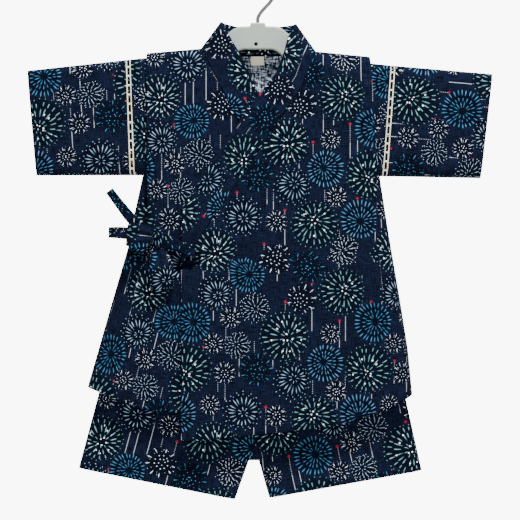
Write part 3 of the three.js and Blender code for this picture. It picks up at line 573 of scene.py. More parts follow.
def makeTrails(n, flat, nearest):
    pitch, high, half, dot, spark = [trails[key] * mm for key in ("pitch", "high", "half", "dot", "spark")]
    x, y, _ = n.parts(flat, "XYZ")
    across = x / pitch
    column = n.math("FLOOR", across)
    up = y / high + n.random(column + 4.5)[0] * 7.0
    one, two, three = n.parts(n.random(n.math("FLOOR", up) * 31.0 + column)[1])
    within = n.math("FRACT", up)
    middle = one * (1 - 2 * trails["margin"]) + trails["margin"]
    beside = (n.math("FRACT", across) - middle) * pitch
    line = n.step(abs(beside), *[half * share for share in trails["lineSoft"]], 1.0, 0.0)
    start = two * trails["startSpread"]
    solidEnd = three * trails["solidSpread"] + start
    dotsEnd = solidEnd + trails["dotted"]
    solid = (within > start) * (within < solidEnd)
    dots = (within > solidEnd) * (within < dotsEnd) * (n.math("FRACT", y / dot) < 0.5)
    line = line * n.math("MAXIMUM", solid, dots * trails["dotStrength"])
    away = n.hypot((within - dotsEnd) * high, beside)
    red = n.step(away, *[spark * share for share in trails["sparkSoft"]], 1.0, 0.0)
    red = red * (two > trails["redShare"]) * n.step(nearest, *trails["redClear"])
    return line * n.step(nearest, *trails["clear"]), red


# Noise drawn out along the warp and along the weft
def threads(n, flat, fine, long, detail):
    return [n.noise(n.vector("MULTIPLY", flat, scale)[0], 1.0, detail, "2D")
            for scale in ((fine, long, 1), (long, fine, 1))]


# Slubbed navy ground: thick threads lighter than thin ones, their lightness patchy, and the
# gaps between threads darker. The fade of ink on the slubs comes out too
ground = dict(dark="#010206", navy="#080c1a", light="#151e37", fine=1500.0, long=90.0, patch=26.0,
              slub=(0.42, 0.72), slubSpread=0.8, slubLeast=0.15, gap=(0.30, 0.46), gapStrength=0.8,
              inkSpread=0.3, inkLeast=0.74, halo=0.55)


def makeGround(n, flat):
    warp, weft = threads(n, flat, ground["fine"], ground["long"], 3.0)
    patch = n.noise(n.vector("MULTIPLY", flat, (ground["patch"], ground["patch"], 1))[0], 1.0, 2.0, "2D")
    slub = n.step(n.math("MAXIMUM", warp, weft), *ground["slub"])
    gap = n.step(n.math("MINIMUM", warp, weft), *ground["gap"], 1.0, 0.0)
    slubs = slub * (patch * ground["slubSpread"] + ground["slubLeast"])
    color = n.blend(slubs, ground["navy"], ground["light"])
    color = n.blend(gap * ground["gapStrength"], color, ground["dark"])
    return color, (1.0 - slub) * ground["inkSpread"] + ground["inkLeast"]


# The printed cloth's colour from its flat coordinates in metres: the nearest firework's own
# coordinates, its rings one over the other, and the trails, all laid over the ground
def makePrint():
    ring = makeStrokeRing()
    n, (flat,), result = groupOf("fireworkPrint", dict(Flat="Vector"), dict(Color="Color"))
    flat = n.vector("MULTIPLY", flat, (1, 1, 0))[0]
    nearest, chosen = nearestFirework(n, flat)
    x, y, code = n.parts(chosen, "XYZ")
    kindAt = (n.math("FLOOR", code * coded["kind"] + 0.002) + 0.5) / coded["kinds"]
    seed = n.math("ROUND", code * coded["number"])
    one, two, three = n.parts(n.random(seed)[1])
    # Each firework's heart lies a little off its centre, the strokes shorter on that side
    pull = (1.0 - n.math("MINIMUM", nearest, 1.0)) * burst["offCentre"]
    across, up = x - (one - 0.5) * pull, y - (two - 0.5) * pull
    radius = n.hypot(across, up)
    turns = n.math("ARCTAN2", up, across) / (2 * math.pi) + 0.5
    core, edge, spark = 0.0, 0.0, 0.0
    styles = list(fireworks.values())
    for j in range(6):
        shapes = [(at, half, wide * coded["width"], number / coded["count"])
                  for at, half, wide, number in [style["rings"][j] for style in styles]]
        loose = burst["sparkLoose"] if j in burst["sparkRings"] else burst["loose"]
        settings = (turns, radius, *byKind(n, kindAt, shapes), seed + 37.0 * j, loose)
        ink, rim = n.fill(n.add("ShaderNodeGroup", node_tree=ring), *settings)
        core = n.math("MAXIMUM", core, ink)
        edge = n.math("MAXIMUM", edge, rim)
        if j in burst["sparkRings"]:
            spark = n.math("MAXIMUM", spark, n.math("MULTIPLY", ink, burst["sparkGain"], clamped=True))
    first, second = [byKind(n, kindAt, [style["inks"][k] for style in styles])[0] for k in (0, 1)]
    edgeInk, sparkInk = [byKind(n, kindAt, [style[key] for style in styles])[0] for key in ("edge", "spark")]
    trail, red = makeTrails(n, flat, nearest)
    color, fade = makeGround(n, flat)
    color = n.blend(n.step(nearest, *burst["halo"], ground["halo"], 0.0), color, ground["dark"])
    color = n.blend(edge * (fade * burst["edgeStrength"]), color, edgeInk)
    color = n.blend(core * fade, color, n.blend(three, first, second))
    color = n.blend(spark, color, sparkInk)
    color = n.blend(trail * trails["strength"], color, trails["ink"])
    n.put(result[0], n.blend(red * trails["redStrength"], color, trails["red"]))
    return n.tree


# The weave's bump: warp and weft threads crossing as sines, and the slubs on top of them
weave = dict(pitch=0.55, cross=0.25, strength=0.35, distance=0.0005)


def weaveBump(n, flat):
    x, y, _ = n.parts(flat, "XYZ")
    turn = 2 * math.pi / (weave["pitch"] * mm)
    thick, long = threads(n, flat, ground["fine"], ground["long"], 2.0)
    height = n.math("SINE", x * turn) * n.math("SINE", y * turn) * weave["cross"] + (thick + long)
    return n.bump(height, weave["strength"], weave["distance"])


# A material with constant settings on its shader: the material, its nodes, the shader's inputs
def newMaterial(name, roughness, sheen=0.0, specular=0.5, metallic=0.0):
    material = bpy.data.materials.new(name)
    material.use_nodes = True
    inputs = material.node_tree.nodes["Principled BSDF"].inputs
    inputs["Roughness"].default_value = roughness
    inputs["Specular IOR Level"].default_value = specular
    inputs["Sheen Weight"].default_value = sheen
    inputs["Sheen Roughness"].default_value = 0.5
    inputs["Metallic"].default_value = metallic
    return material, Nodes(material.node_tree), inputs


# The cloth's flat coordinates, turned and moved to where the piece is cut from the print
def clothUv(n, turn=0.0, shift=(0.0, 0.0)):
    uv = n.fill(n.add("ShaderNodeUVMap", uv_map="cloth"))[0]
    return n.fill(n.add("ShaderNodeMapping"), uv, (*shift, 0), (0, 0, math.radians(turn)))[0]


printGroup = makePrint()
cottonLook = dict(roughness=0.9, sheen=0.004, specular=0.02)


# The right side: the print and the weave where the piece is cut from the cloth
def printedCotton(name, turn=0.0, shift=(0.0, 0.0)):
    material, n, inputs = newMaterial(name, **cottonLook)
    flat = clothUv(n, turn, shift)
    n.put(inputs["Base Color"], n.fill(n.add("ShaderNodeGroup", node_tree=printGroup), flat)[0])
    n.put(inputs["Normal"], weaveBump(n, flat))
    return material


# The wrong side: the same threads with the print's back showing through as pale flecks
wrongLook = dict(fine=650.0, long=130.0, spread=(0.88, 1.28), dark="#121f35", pale="#c5d2e1")


def wrongSide():
    material, n, inputs = newMaterial("wrongSideCotton", **cottonLook)
    flat = clothUv(n)
    warp, weft = threads(n, flat, wrongLook["fine"], wrongLook["long"], 3.0)
    spread = n.step(warp + weft, *wrongLook["spread"])
    n.put(inputs["Base Color"], n.blend(spread, wrongLook["dark"], wrongLook["pale"]))
    n.put(inputs["Normal"], weaveBump(n, flat))
    return material


wrong = wrongSide()
print("materials made")

# Rows run from 0 at the shoulder through 1 at the underarm to 2 at the hem. They stand close
# together at the shoulder's fold and where the armhole ends and the underarm begins
cornerLevel = 0.94
shoulderTurn = 12 / 130        # the fold's turn in the armhole's length
rowLevels = np.concatenate([
    turnSteps(7, shoulderTurn), np.linspace(0.11, cornerLevel, 38), np.linspace(0.95, 1, 7),
    np.linspace(1.012, 2, 88)])


# The drop at a level: a share of the way from the top to the armpit, then on to the hem
def levelDrop(level, top, armpit, hem):
    return np.where(level < 1, mix(top, armpit, level), mix(armpit, hem, level - 1))


# The side's own edge: down the armhole, in along the underarm, down the side seam
def sideEdge(side, hem):
    (topOut, _), (footOut, _) = side["lace"]
    armOut, armDrop = side["armpit"]
    inner = panel["laceWidth"] / 2 + panel["laceGap"]
    down = clamp(rowLevels / cornerLevel)
    under = clamp((rowLevels - cornerLevel) / (1 - cornerLevel))
    low = mix(armDrop, readAt(hem, side["sign"] * farOut), np.maximum(0, rowLevels - 1))
    out = mix(mix(topOut, footOut, down) - inner, armOut, under)
    out = np.where(rowLevels > 1, readAt(side["seam"], low), out)
    return out, np.where(rowLevels > 1, low, mix(shoulderDrop(side, topOut, 2), armDrop, down))


# A tucked side's columns from its edge to the fold: the strip that lies under the tuck, a
# half turn, the middle layer and a half turn back. Depths are in layers below the cloth
tuckCloth = dict(readOut=110.0, strip=22, crowd=1.4, turn=7, middle=9, mostLayers=2.5)


def tuckColumns(side, top, hem):
    sign, armDrop = side["sign"], side["armpit"][1]
    edgeOut, edgeDrop = sideEdge(side, hem)
    readX = sign * tuckCloth["readOut"]
    near = levelDrop(rowLevels, top(np.full_like(rowLevels, readX)), armDrop, readAt(hem, readX))
    fold, inner, layers = [readAt(side["tuck"], near, 0, k)[:, None] for k in (1, 2, 3)]
    turn = np.linspace(0, np.pi, tuckCloth["turn"])[1:-1]
    bulge = np.minimum(layers, tuckCloth["mostLayers"]) * panel["layerStep"] / 4
    strip = np.linspace(0, 1, tuckCloth["strip"])[None, :] ** tuckCloth["crowd"]
    middle = np.linspace(0, 1, tuckCloth["middle"])[None, :]
    parts = [
        (mix(edgeOut[:, None], inner, strip), layers * np.ones_like(strip)),
        (inner - bulge * np.sin(turn), layers * (0.75 + 0.25 * np.cos(turn))),
        (mix(inner, fold, middle), layers / 2 * np.ones_like(middle)),
        (fold + bulge * np.sin(turn), layers * (0.25 + 0.25 * np.cos(turn)))]
    out, depth = [np.concatenate(columns, axis=1) for columns in zip(*parts)]
    raised = top(sign * out) + side["tuckStep"] * np.minimum(depth, 2) / 2
    drop = levelDrop(rowLevels[:, None], raised, armDrop, readAt(hem, sign * out))
    count = strip.shape[1]
    drop[:, :count] = mix(edgeDrop[:, None], drop[:, count - 1:count], strip)
    return out, drop, depth, fold


# Half of a panel: its tucked side, then the main cloth from the fold to endX. The last of
# its four grids is the main cloth's distance past the fold
def tuckedHalf(side, top, hem, endX, columns):
    sign = side["sign"]
    out, drop, depth, fold = tuckColumns(side, top, hem)
    x = mix(sign * fold, endX, np.linspace(0, 1, columns)[None, :])
    mainDrop = levelDrop(rowLevels[:, None], top(x), side["armpit"][1], readAt(hem, x))
    pairs = ((sign * out, x), (drop, mainDrop), (depth, np.zeros_like(x)),
             (np.zeros_like(out), fold - sign * x))
    return [np.concatenate(pair, axis=1) for pair in pairs]


# One front: its tucked half, whose main cloth ends at the collar's seam or the free edge
def frontGrid(side, seam, hem, lift, front):
    sign = side["sign"]
    footOut, neckDrop = side["shoulder"][0]

    def top(x):
        shoulder = shoulderDrop(side, np.maximum(np.abs(x), panel["flatNeck"]), 0)
        return np.where(x * sign > footOut, shoulder, neckDrop)

    endDrop = levelDrop(rowLevels, neckDrop, side["armpit"][1], readAt(hem, seam[-1][0]))
    endX = readAt(seam, endDrop, 1, 0)[:, None]
    x, drop, depth, past = tuckedHalf(side, top, hem, endX, front["columns"])
    relief = clothRelief(front["creases"], x, drop, panel["waves"], front["shift"], readAt(hem, x) - drop)
    points = jacketPoints(x, drop, -1, depth, lift * smooth(past, *front["rise"]), relief)
    return points, pointsOf(endX + sign * np.abs(rowLength(points, -1)), -drop) * mm


# Creases: x, drop at both ends, width, depth (a trough is below nought)
underFront = dict(
    creases=[(-150, 250, -172, 380, 9, -1.2), (-128, 262, -150, 392, 8, 1.0),
             (-112, 252, -120, 330, 6, -1.3), (-98, 250, -104, 318, 6, 0.9),
             (-95, 60, -100, 150, 9, -0.5), (-102, 250, -56, 257, 8.5, -13.0),
             (-138, 239, -112, 242, 6, -6.0)],
    columns=76, rise=(2, 30), shift=0.7, flat=(0.36, 0.40), area=0.085)
overFront = dict(
    creases=[(-60, 250, 10, 300, 10, -0.9), (-66, 236, -10, 232, 7, 0.8),
             (-72, 262, -40, 330, 8, -0.8), (40, 180, 96, 290, 12, -0.6),
             (110, 215, 128, 330, 7, -1.3), (134, 230, 150, 360, 7, 0.9),
             (84, 60, 90, 150, 9, -0.5), (10, 250, 30, 400, 14, 0.6), (-98, 251, -62, 256, 7.5, -13.5)],
    columns=76, rise=(2, 30), shift=2.3, flat=(0.36, 0.42), area=0.11)
under = frontGrid(leftSide, underSeam, underHem, 0.0, underFront)
over = frontGrid(rightSide, overSeam, overHem, panel["overLift"], overFront)

# Below the tie the under front swings out, and its grain turns with it to the side seam's
lean = dict(pivot=(-110.0, -230.0), start=190, end=260, turn=14)
pivot = np.array(lean["pivot"])
underUv = under[1] / mm - pivot
turned = np.radians(lean["turn"]) * smooth(-(underUv + pivot)[..., 1], lean["start"], lean["end"])
underUv = pointsOf(underUv[..., 0] * np.cos(turned) - underUv[..., 1] * np.sin(turned),
                   underUv[..., 0] * np.sin(turned) + underUv[..., 1] * np.cos(turned))
under = under[0], (underUv + pivot) * mm

bodyCotton = printedCotton("bodyCotton")
underCotton = printedCotton("underCotton", shift=(0.06, 0.043))
clothPiece("under_front", under, underCotton)
clothPiece("over_front", over, bodyCotton)
print("fronts made")


# The back: both tucked sides and the main cloth between them, its top the collar's seam
backPanel = dict(
    neckDrops=(24.3, 30.8, 27.3), columns=66, shift=4.1, flat=(0.42, 0.40), area=0.15,
    creases=[(-60, 60, -70, 170, 10, -0.7), (40, 80, 62, 200, 10, -0.7), (0, 60, -6, 210, 12, 0.6),
             (-120, 250, -150, 380, 9, -1.1), (-92, 240, -106, 350, 8, 0.9),
             (112, 220, 132, 350, 8, -1.2), (88, 250, 104, 360, 9, 0.8),
             (-30, 260, -44, 400, 12, -0.6), (36, 270, 52, 400, 12, 0.6)])


# How far out the neck's seam ends at the shoulder, on the side of x
def neckFoot(x):
    return np.where(x < 0, leftSide["shoulder"][0][0], rightSide["shoulder"][0][0])


# The back neck's seam: flat in its middle and rising to both shoulders by a cube
def neckDrop(x):
    left, middle, right = backPanel["neckDrops"]
    return mix(middle, np.where(x < 0, left, right), clamp(np.abs(x) / neckFoot(x)) ** 3)


def backGrid():
    def top(x):
        out = np.maximum(np.abs(x), panel["flatNeck"])
        shoulder = np.where(x < 0, shoulderDrop(leftSide, out, 0), shoulderDrop(rightSide, out, 0))
        return np.where(np.abs(x) > neckFoot(x), shoulder, neckDrop(x))

    halves = [tuckedHalf(side, top, backHem, 0.0, backPanel["columns"]) for side in (leftSide, rightSide)]
    x, drop, depth, _ = [np.concatenate([left, right[:, -2::-1]], axis=1) for left, right in zip(*halves)]
    relief = clothRelief(backPanel["creases"], x, drop, panel["waves"], backPanel["shift"],
                         readAt(backHem, x) - drop)
    points = jacketPoints(x, drop, 1, depth, 0.0, relief)
    return points, pointsOf(rowLength(points, x.shape[1] // 2), -drop) * mm


backCotton = printedCotton("backCotton", shift=(0.031, 0.017))
clothPiece("back_panel", backGrid(), backCotton)
print("back made")

# The collar's free edge beside its seamed edge, down each front: out's drop, in's x and drop
underCollar = [(43, -26.5, 18.5), (60.8, -18.1, 31.9), (79.2, -9, 51), (97.4, -2, 68.1),
               (117.6, 14, 90), (144.3, 30.2, 112.4), (182.6, 45.4, 134.5), (219, 71.5, 175.5),
               (249, 87.3, 199)]
overCollar = [(42.6, 32, 14), (66.9, 27.2, 31.9), (86.3, 19.7, 50.2), (105.7, 3, 72.6),
              (125, -11.2, 91.5), (153.5, -25.9, 112.4), (182.2, -41.1, 134.5),
              (227, -67.4, 175.5), (257.4, -82.7, 198.5)]
# Across the back of the neck: in's x and drop, out's x
collarBack = [(-22.9, -1, -44.3), (-12, 0.6, -22), (0, 1.5, 0), (10, 0.8, 22), (19, -0.4, 45.5)]
collarBand = dict(thick=2.2, flat=(0.80, 0.034), across=25, seamOver=1.5, lift=0.35,
                  frontStations=110, backStations=36, turnStations=22)


# Stations (in x, in drop, out x, out drop) down one front, and round the neck's side to it
def collarFront(side, edges, seam):
    outDrop = np.linspace(edges[-1][0], edges[0][0], collarBand["frontStations"])
    inX, inDrop, outX = readAt(edges, outDrop), readAt(edges, outDrop, 0, 2), readAt(seam, outDrop, 1, 0)
    front = pointsOf(inX, inDrop, outX, outDrop)
    return np.concatenate([front, neckTurn(side, front[-1])[1:]])


# From the start to the neck's side point, in steps that shrink towards it
def neckTurn(side, start):
    (topOut, topDrop), (footOut, footDrop) = side["neckTop"], side["shoulder"][0]
    tip = np.array([side["sign"] * topOut, topDrop, side["sign"] * footOut, footDrop])
    share = turnSteps(collarBand["turnStations"], 1)
    return mix(tip[None, :], start[None, :], share[::-1, None])


# The collar across its stations, and its flat coordinates: along its middle line and out to
# both sides of it
def collarGrid():
    back = np.array([(inX, inDrop, outX, neckDrop(outX)) for inX, inDrop, outX in collarBack], float)
    back = rowsAt(np.linspace(0, len(back) - 1, collarBand["backStations"]), np.arange(len(back)), back)
    behind = [neckTurn(leftSide, back[0])[::-1][1:], back[1:-1], neckTurn(rightSide, back[-1])[:-1]]
    parts = [collarFront(leftSide, underCollar, underSeam), np.concatenate(behind),
             collarFront(rightSide, overCollar, overSeam)[::-1]]
    stations = np.concatenate(parts)
    counts = [len(part) for part in parts]
    face = np.repeat([-1.0, 1.0, -1.0], counts)[:, None]
    lift = np.repeat([0.0, 0.0, panel["overLift"]], counts)[:, None] + collarBand["lift"]
    inner, outer = stations[:, :2], stations[:, 2:]
    run = np.linalg.norm(outer - inner, axis=1)[:, None]
    share = np.linspace(0, 1, collarBand["across"])[None, :] * (1 + collarBand["seamOver"] / run)
    x, drop = [mix(inner[:, [k]], outer[:, [k]], share) for k in (0, 1)]
    points = jacketPoints(x, drop, face, 0.0, lift)
    centre = collarBand["across"] // 2
    middleLine = points[:, centre]
    ahead = unit(np.gradient(middleLine, axis=0))
    offset = points - middleLine[:, None]
    forward = (offset * ahead[:, None]).sum(axis=2)
    sideways = np.sqrt(np.maximum(0, (offset ** 2).sum(axis=2) - forward ** 2))
    sideways *= np.sign(share - share[:, [centre]])
    return points, pointsOf(sideways, pathLength(middleLine)[:, None] + forward) * mm


collarCotton = printedCotton("collarCotton", shift=(0.05, 0.09))
foldedPiece("collar_band", "collar", *collarGrid(), collarBand["thick"], collarCotton,
            collarBand["flat"], ["hanger_body"])
print("collar made")

# Sleeves: closed tubes from the lace to the cuff. Their rows close up at the lace, where the
# edge dips to lie under it
sleeveTube = dict(depth=8.5, length=107.0, flat=(0.235, 0.105), starts=(0, 1.5, 3, 4.2, 5, 6, 7.5),
                  rings=48, sides=26, turn=10.0, under=-2.2, dip=2.8, dipEnds=(4.4, 6.5), waves=0.22)


# Shares down one face of the arm, close together where it turns over at both folds
def armShares(length):
    turn = turnSteps(8, sleeveTube["turn"] / length)
    main = np.linspace(turn[-1], 1 - turn[-1], sleeveTube["sides"])[1:-1]
    return np.concatenate([turn, main, (1 - turn)[::-1]])


# The out and drop of the lace's line at its top (end 0) or foot (end 1), moved outwards
def laceEdge(side, end, offset):
    out = side["lace"][end][0] + offset
    return out, shoulderDrop(side, out, 2) if end == 0 else side["armpit"][1]


# Round the arm: the half depth is the armhole's at the lace and the cuff's at the cuff,
# rounded over at the shoulder fold and the underarm
def armPoints(side, top, bottom, share, face, reach):
    drop = mix(top[1], bottom[1], share)
    out = mix(top[0], bottom[0], share)
    inset = np.minimum(drop - top[1], bottom[1] - drop)
    armhole = readAt(bodyDepth, drop) - 2 * panel["layerStep"]
    depth = mix(armhole, sleeveTube["depth"], reach)
    return side["sign"] * out, drop, face * depth * edgeRound(inset), inset


def sleeveGrid(side, creases, shift):
    starts = np.array(sleeveTube["starts"]) / sleeveTube["length"]
    reach = np.concatenate([starts, np.linspace(starts[-1], 1, sleeveTube["rings"])[1:]])[:, None]
    top, foot = [[mix(a, b, reach) for a, b in zip(laceEdge(side, end, sleeveTube["under"]), cuff)]
                 for end, cuff in enumerate(side["cuff"])]
    around, face = roundTrip(armShares(side["cuff"][1][1] - side["cuff"][0][1]))
    x, drop, y, inset = armPoints(side, top, foot, around, face, reach)
    flatLength = sleeveTube["flat"][1] / mm
    relief = clothRelief(creases, x, drop, sleeveTube["waves"], shift, (1 - reach) * flatLength)
    relief = relief - sleeveTube["dip"] * (1 - smooth(reach * sleeveTube["length"], *sleeveTube["dipEnds"]))
    points = pointsOf(x, y + face * relief * reliefFade(inset), heightOf(drop))
    return points, pointsOf(reach * flatLength * side["sign"], -closedLength(points)) * mm


sleeves = dict(
    sleeve_left=dict(side=leftSide, lace="lace_left_front", turn=0, shift=(0.02, 0.11), wave=5.2,
                     creases=[(-150, 60, -225, 78, 7, -0.8), (-155, 140, -215, 118, 8, 0.7)]),
    sleeve_right=dict(side=rightSide, lace="lace_right_front", turn=90, shift=(0.08, 0.02), wave=1.4,
                      creases=[(152, 66, 228, 80, 7, -0.8), (158, 142, 222, 124, 8, -0.7)]))
for name, sleeve in sleeves.items():
    cotton = printedCotton(name + "Cotton", sleeve["turn"], sleeve["shift"])
    grid = sleeveGrid(sleeve["side"], sleeve["creases"], sleeve["wave"])
    clothPiece(name, grid, cotton, closed=True)
print("sleeves made")

# Shorts: each leg's x at the waist and the crotch, and its hem's outer and inner corners
shorts = dict(
    waistDrop=257, crotchMiddle=-4.3, crotchDrop=468.5, band=24.0, gap=0.3, edges=(4.0, 22.0),
    half=[(230, 6), (285, 7), (400, 8.5), (520, 9)], middle=[(230, 8.8), (285, 8), (400, 5), (520, 3)],
    waves=0.25, lowered=0.12, centre=5.0, flat=(0.40, 0.26), area=0.075)
legs = dict(
    shorts_leg_left=dict(
        sign=-1, waist=-134.5, crotch=-9.8, outer=(-193.1, 476.6), inner=(-24.9, 510.3),
        shift=(0.07, 0.13), wave=2.9, creases=[
            (-60, 430, -40, 500, 9, -1.0), (-110, 440, -118, 490, 9, 0.8), (-24, 420, -60, 462, 8, 0.8),
            (-150, 420, -162, 478, 8, -0.8)]),
    shorts_leg_right=dict(
        sign=1, waist=127.5, crotch=1.3, outer=(176.8, 479), inner=(12.7, 508.7),
        shift=(0.11, 0.05), wave=3.6, creases=[
            (40, 430, 34, 498, 9, -1.0), (90, 430, 104, 488, 9, 0.8), (14, 424, 52, 466, 8, 0.8),
            (134, 420, 150, 474, 8, -0.9)]))
# A leg's levels, and its shares from the outer fold to the middle, closest at both ends
legLevels = np.concatenate([
    np.linspace(0, cornerLevel, 62), np.linspace(0.945, 1, 9), np.linspace(1.02, 2, 34)])[:, None]
legShares = np.concatenate([turnSteps(9, 0.09), np.linspace(0.1, 0.93, 48), np.linspace(0.945, 1, 9)])


# The shorts' cloth: half the depth each side of their middle plane, rounded over at the side
# folds, the inseams and the crotch
def shortsPoints(x, drop, face, relief):
    def line(fromX, fromDrop, end):
        return mix(fromX, end[0], (drop - fromDrop) / (end[1] - fromDrop))

    sides, inseams, beside = zip(*[
        (leg["sign"] * (line(leg["waist"], shorts["waistDrop"], leg["outer"]) - x),
         leg["sign"] * (x - line(leg["crotch"], shorts["crotchDrop"], leg["inner"])),
         leg["sign"] * (x - leg["crotch"])) for leg in legs.values()])
    aboveCrotch = np.hypot(np.maximum(0, np.maximum(*beside)), shorts["crotchDrop"] - drop)
    inner = np.where(drop > shorts["crotchDrop"], np.maximum(*inseams), aboveCrotch)
    inset = np.maximum(0, np.minimum(np.minimum(*sides), inner))
    half = readAt(shorts["half"], drop) * edgeRound(inset, *shorts["edges"])
    half = np.maximum(panel["seamHalf"], half + relief * reliefFade(inset))
    return pointsOf(x, readAt(shorts["middle"], drop) + face * half, heightOf(drop))


# One leg, from the front's middle round the outer fold to the back's. Rows run from 0 at the
# waist through 1 at the crotch to 2 at the hem
def legGrid(leg):
    waistDrop, crotchDrop = shorts["waistDrop"], shorts["crotchDrop"]
    (outerFoot, outerHem), (innerFoot, innerHem) = leg["outer"], leg["inner"]
    top = waistDrop + shorts["band"] + shorts["gap"]
    level = legLevels
    outerDrop = mix(top, outerHem, level / 2 + shorts["lowered"] * np.sin(np.pi * level / 2))
    outerX = mix(leg["waist"], outerFoot, (outerDrop - waistDrop) / (outerHem - waistDrop))
    under = clamp((level - cornerLevel) / (1 - cornerLevel))
    below = np.maximum(0, level - 1)
    innerX = mix(mix(shorts["crotchMiddle"], leg["crotch"], under), innerFoot, below)
    innerDrop = mix(mix(top, crotchDrop, clamp(level / cornerLevel)), innerHem, below)
    around = np.concatenate([legShares[::-1], legShares[1:]])[None, :]
    face = np.repeat([-1.0, 1.0], [len(legShares), len(legShares) - 1])[None, :]
    x, drop = mix(outerX, innerX, around), mix(outerDrop, innerDrop, around)
    hemDrop = mix(outerHem, innerHem, (x - outerFoot) / (innerFoot - outerFoot))
    relief = clothRelief(leg["creases"], x, drop, shorts["waves"], leg["wave"], hemDrop - drop)
    points = shortsPoints(x, drop, face, relief)
    # The grain runs along the outer edge, so the flat coordinates are turned to it
    length = rowLength(points, len(legShares) - 1)
    lean = math.atan2(abs(outerFoot - leg["waist"]), outerHem - waistDrop)
    along = (drop - top) / math.cos(lean) - np.abs(length) * math.sin(lean)
    return points, pointsOf(leg["waist"] + leg["sign"] * length * math.cos(lean), -along) * mm


for name, leg in legs.items():
    cotton = printedCotton(name + "Cotton", 0, leg["shift"])
    clothPiece(name, legGrid(leg), cotton,
               middle=shorts["centre"])


# The waistband's casing, gathered on elastic: small upright ruffles all round, a sine whose
# pitch drifts, strongest half way up
waistband = dict(rows=15, columns=150, bend=9.0, ruffle=0.55, pitch=2.3, drift=0.8, driftPitch=9.0,
                 ease=(2, 10), least=0.4, spread=1.022, flat=(0.56, 0.026))


def waistbandGrid():
    top, bend = shorts["waistDrop"], waistband["bend"]
    left, right = [leg["waist"] for leg in legs.values()]
    share = np.linspace(0, 1, waistband["rows"])[:, None]
    turn = turnSteps(8, bend)
    main = np.linspace(left + bend, right - bend, waistband["columns"])[1:-1]
    around, face = roundTrip(np.concatenate([left + turn, main, (right - turn)[::-1]]))
    wave = around / waistband["pitch"] + waistband["drift"] * np.sin(around / waistband["driftPitch"])
    ruffle = waistband["ruffle"] * np.sin(wave) * np.sin(np.pi * share) ** 0.5
    inset = np.minimum(around - left, right - around)
    half = readAt(shorts["half"], top) * quarter(inset, bend) + ruffle * smooth(inset, *waistband["ease"])
    y = readAt(shorts["middle"], top) + face * np.maximum(waistband["least"], half)
    drop = top + shorts["band"] * share
    points = pointsOf(around * mix(1, waistband["spread"], share), y, heightOf(drop))
    return points, pointsOf(closedLength(points), -drop) * mm


waistCotton = printedCotton("waistCotton", 0, (0.03, 0.02))
clothPiece("shorts_waistband", waistbandGrid(), waistCotton, closed=True)
print("shorts made")

# Ties: stations along each strip (x, drop, place in front, width)
ties = dict(
    tie_band=[(-66, 242.5, -23.7, 12), (-80, 239.5, -24, 12), (-90, 234.5, -25.6, 11.5),
              (-100, 229.5, -28, 10)],
    tie_band_side=[(-113.4, 230, -19.6, 9), (-119.5, 230, -19.5, 10.5), (-125, 229.5, -18.2, 11),
                   (-133, 229, -14.4, 11)],
    tie_tail_upper=[(-111, 225, -24.7, 10), (-123.5, 217.5, -23.8, 11), (-135.6, 207.6, -19.5, 11.5),
                    (-147.2, 193.4, -17, 10), (-159.3, 177.6, -15.2, 8.8)],
    tie_tail_side=[(-113.4, 228, -22.1, 9), (-122, 225, -21.8, 12), (-137, 223.8, -17.4, 13),
                   (-150, 222.8, -14.8, 12.5), (-160.2, 222.6, -13.6, 11.5)])
tieCloth = dict(thick=2.0, rows=60, across=17, dish=0.6, flatWidth=0.011, shift=(0.021, 0.037))
tieCotton = printedCotton("tieCotton", 0, (0.015, 0.03))


# A smooth curve through stations: cubic between them, with each slope the mean of its two
# neighbours' steps (Catmull-Rom)
def smoothStations(stations, count):
    rows = np.array(stations, float)
    padded = np.concatenate([[2 * rows[0] - rows[1]], rows, [2 * rows[-1] - rows[-2]]])
    at = np.linspace(0, len(rows) - 1 - 1e-9, count)
    i = np.floor(at).astype(int)
    t = (at - i)[:, None]
    a, b, c, d = padded[i], padded[i + 1], padded[i + 2], padded[i + 3]
    curved = (2 * a - 5 * b + 4 * c - d) * t ** 2 + (3 * b - a - 3 * c + d) * t ** 3
    return 0.5 * (2 * b + (c - a) * t + curved)


# A strip: across each station by its width, slightly dished along its middle
def stripGrid(stations):
    rows = smoothStations(stations, tieCloth["rows"])
    x, drop, y, width = [rows[:, [k]] for k in range(4)]
    ahead = unit(np.gradient(rows[:, :2], axis=0))
    part = np.linspace(-0.5, 0.5, tieCloth["across"])[None, :]
    points = pointsOf(
        x - ahead[:, [1]] * part * width, y + tieCloth["dish"] * (1 - (2 * part) ** 2),
        heightOf(drop + ahead[:, [0]] * part * width))
    return points, pointsOf(part * width, pathLength(rows[:, :3])[:, None]) * mm


for number, (name, stations) in enumerate(ties.items()):
    grid, gridUv = stripGrid(stations)
    length = float(pathLength(grid[:, tieCloth["across"] // 2])[-1]) * mm
    foldedPiece(name + "_cloth", name, grid, gridUv + np.array(tieCloth["shift"]) * number,
                tieCloth["thick"], tieCotton, (tieCloth["flatWidth"], length), ["under_front"])

loops = dict(
    tie_loop_side=dict(x=-112.6, drop=228, out=-30.6, length=26.5, wide=27, deep=6.5, turn=math.pi * 0.97),
    tie_loop_low=dict(x=-105.6, drop=240, out=-28, length=43, wide=27, deep=9, turn=-math.pi * 0.465))
loopShape = [(0, 0.18, 0.42), (0.2, 0.62, 0.74), (0.5, 1, 1), (0.8, 0.86, 0.96), (0.96, 0.45, 0.88),
             (1, 0, 0.86)]      # along, out, wide
loopCloth = dict(thick=1.2, rows=46, across=33, curl=0.16, flatWidth=0.025, shift=(0.083, 0.061),
                 apart=0.05, pleats=2.4, start=0.6, least=0.4, fan=1.4, fade=3.0)


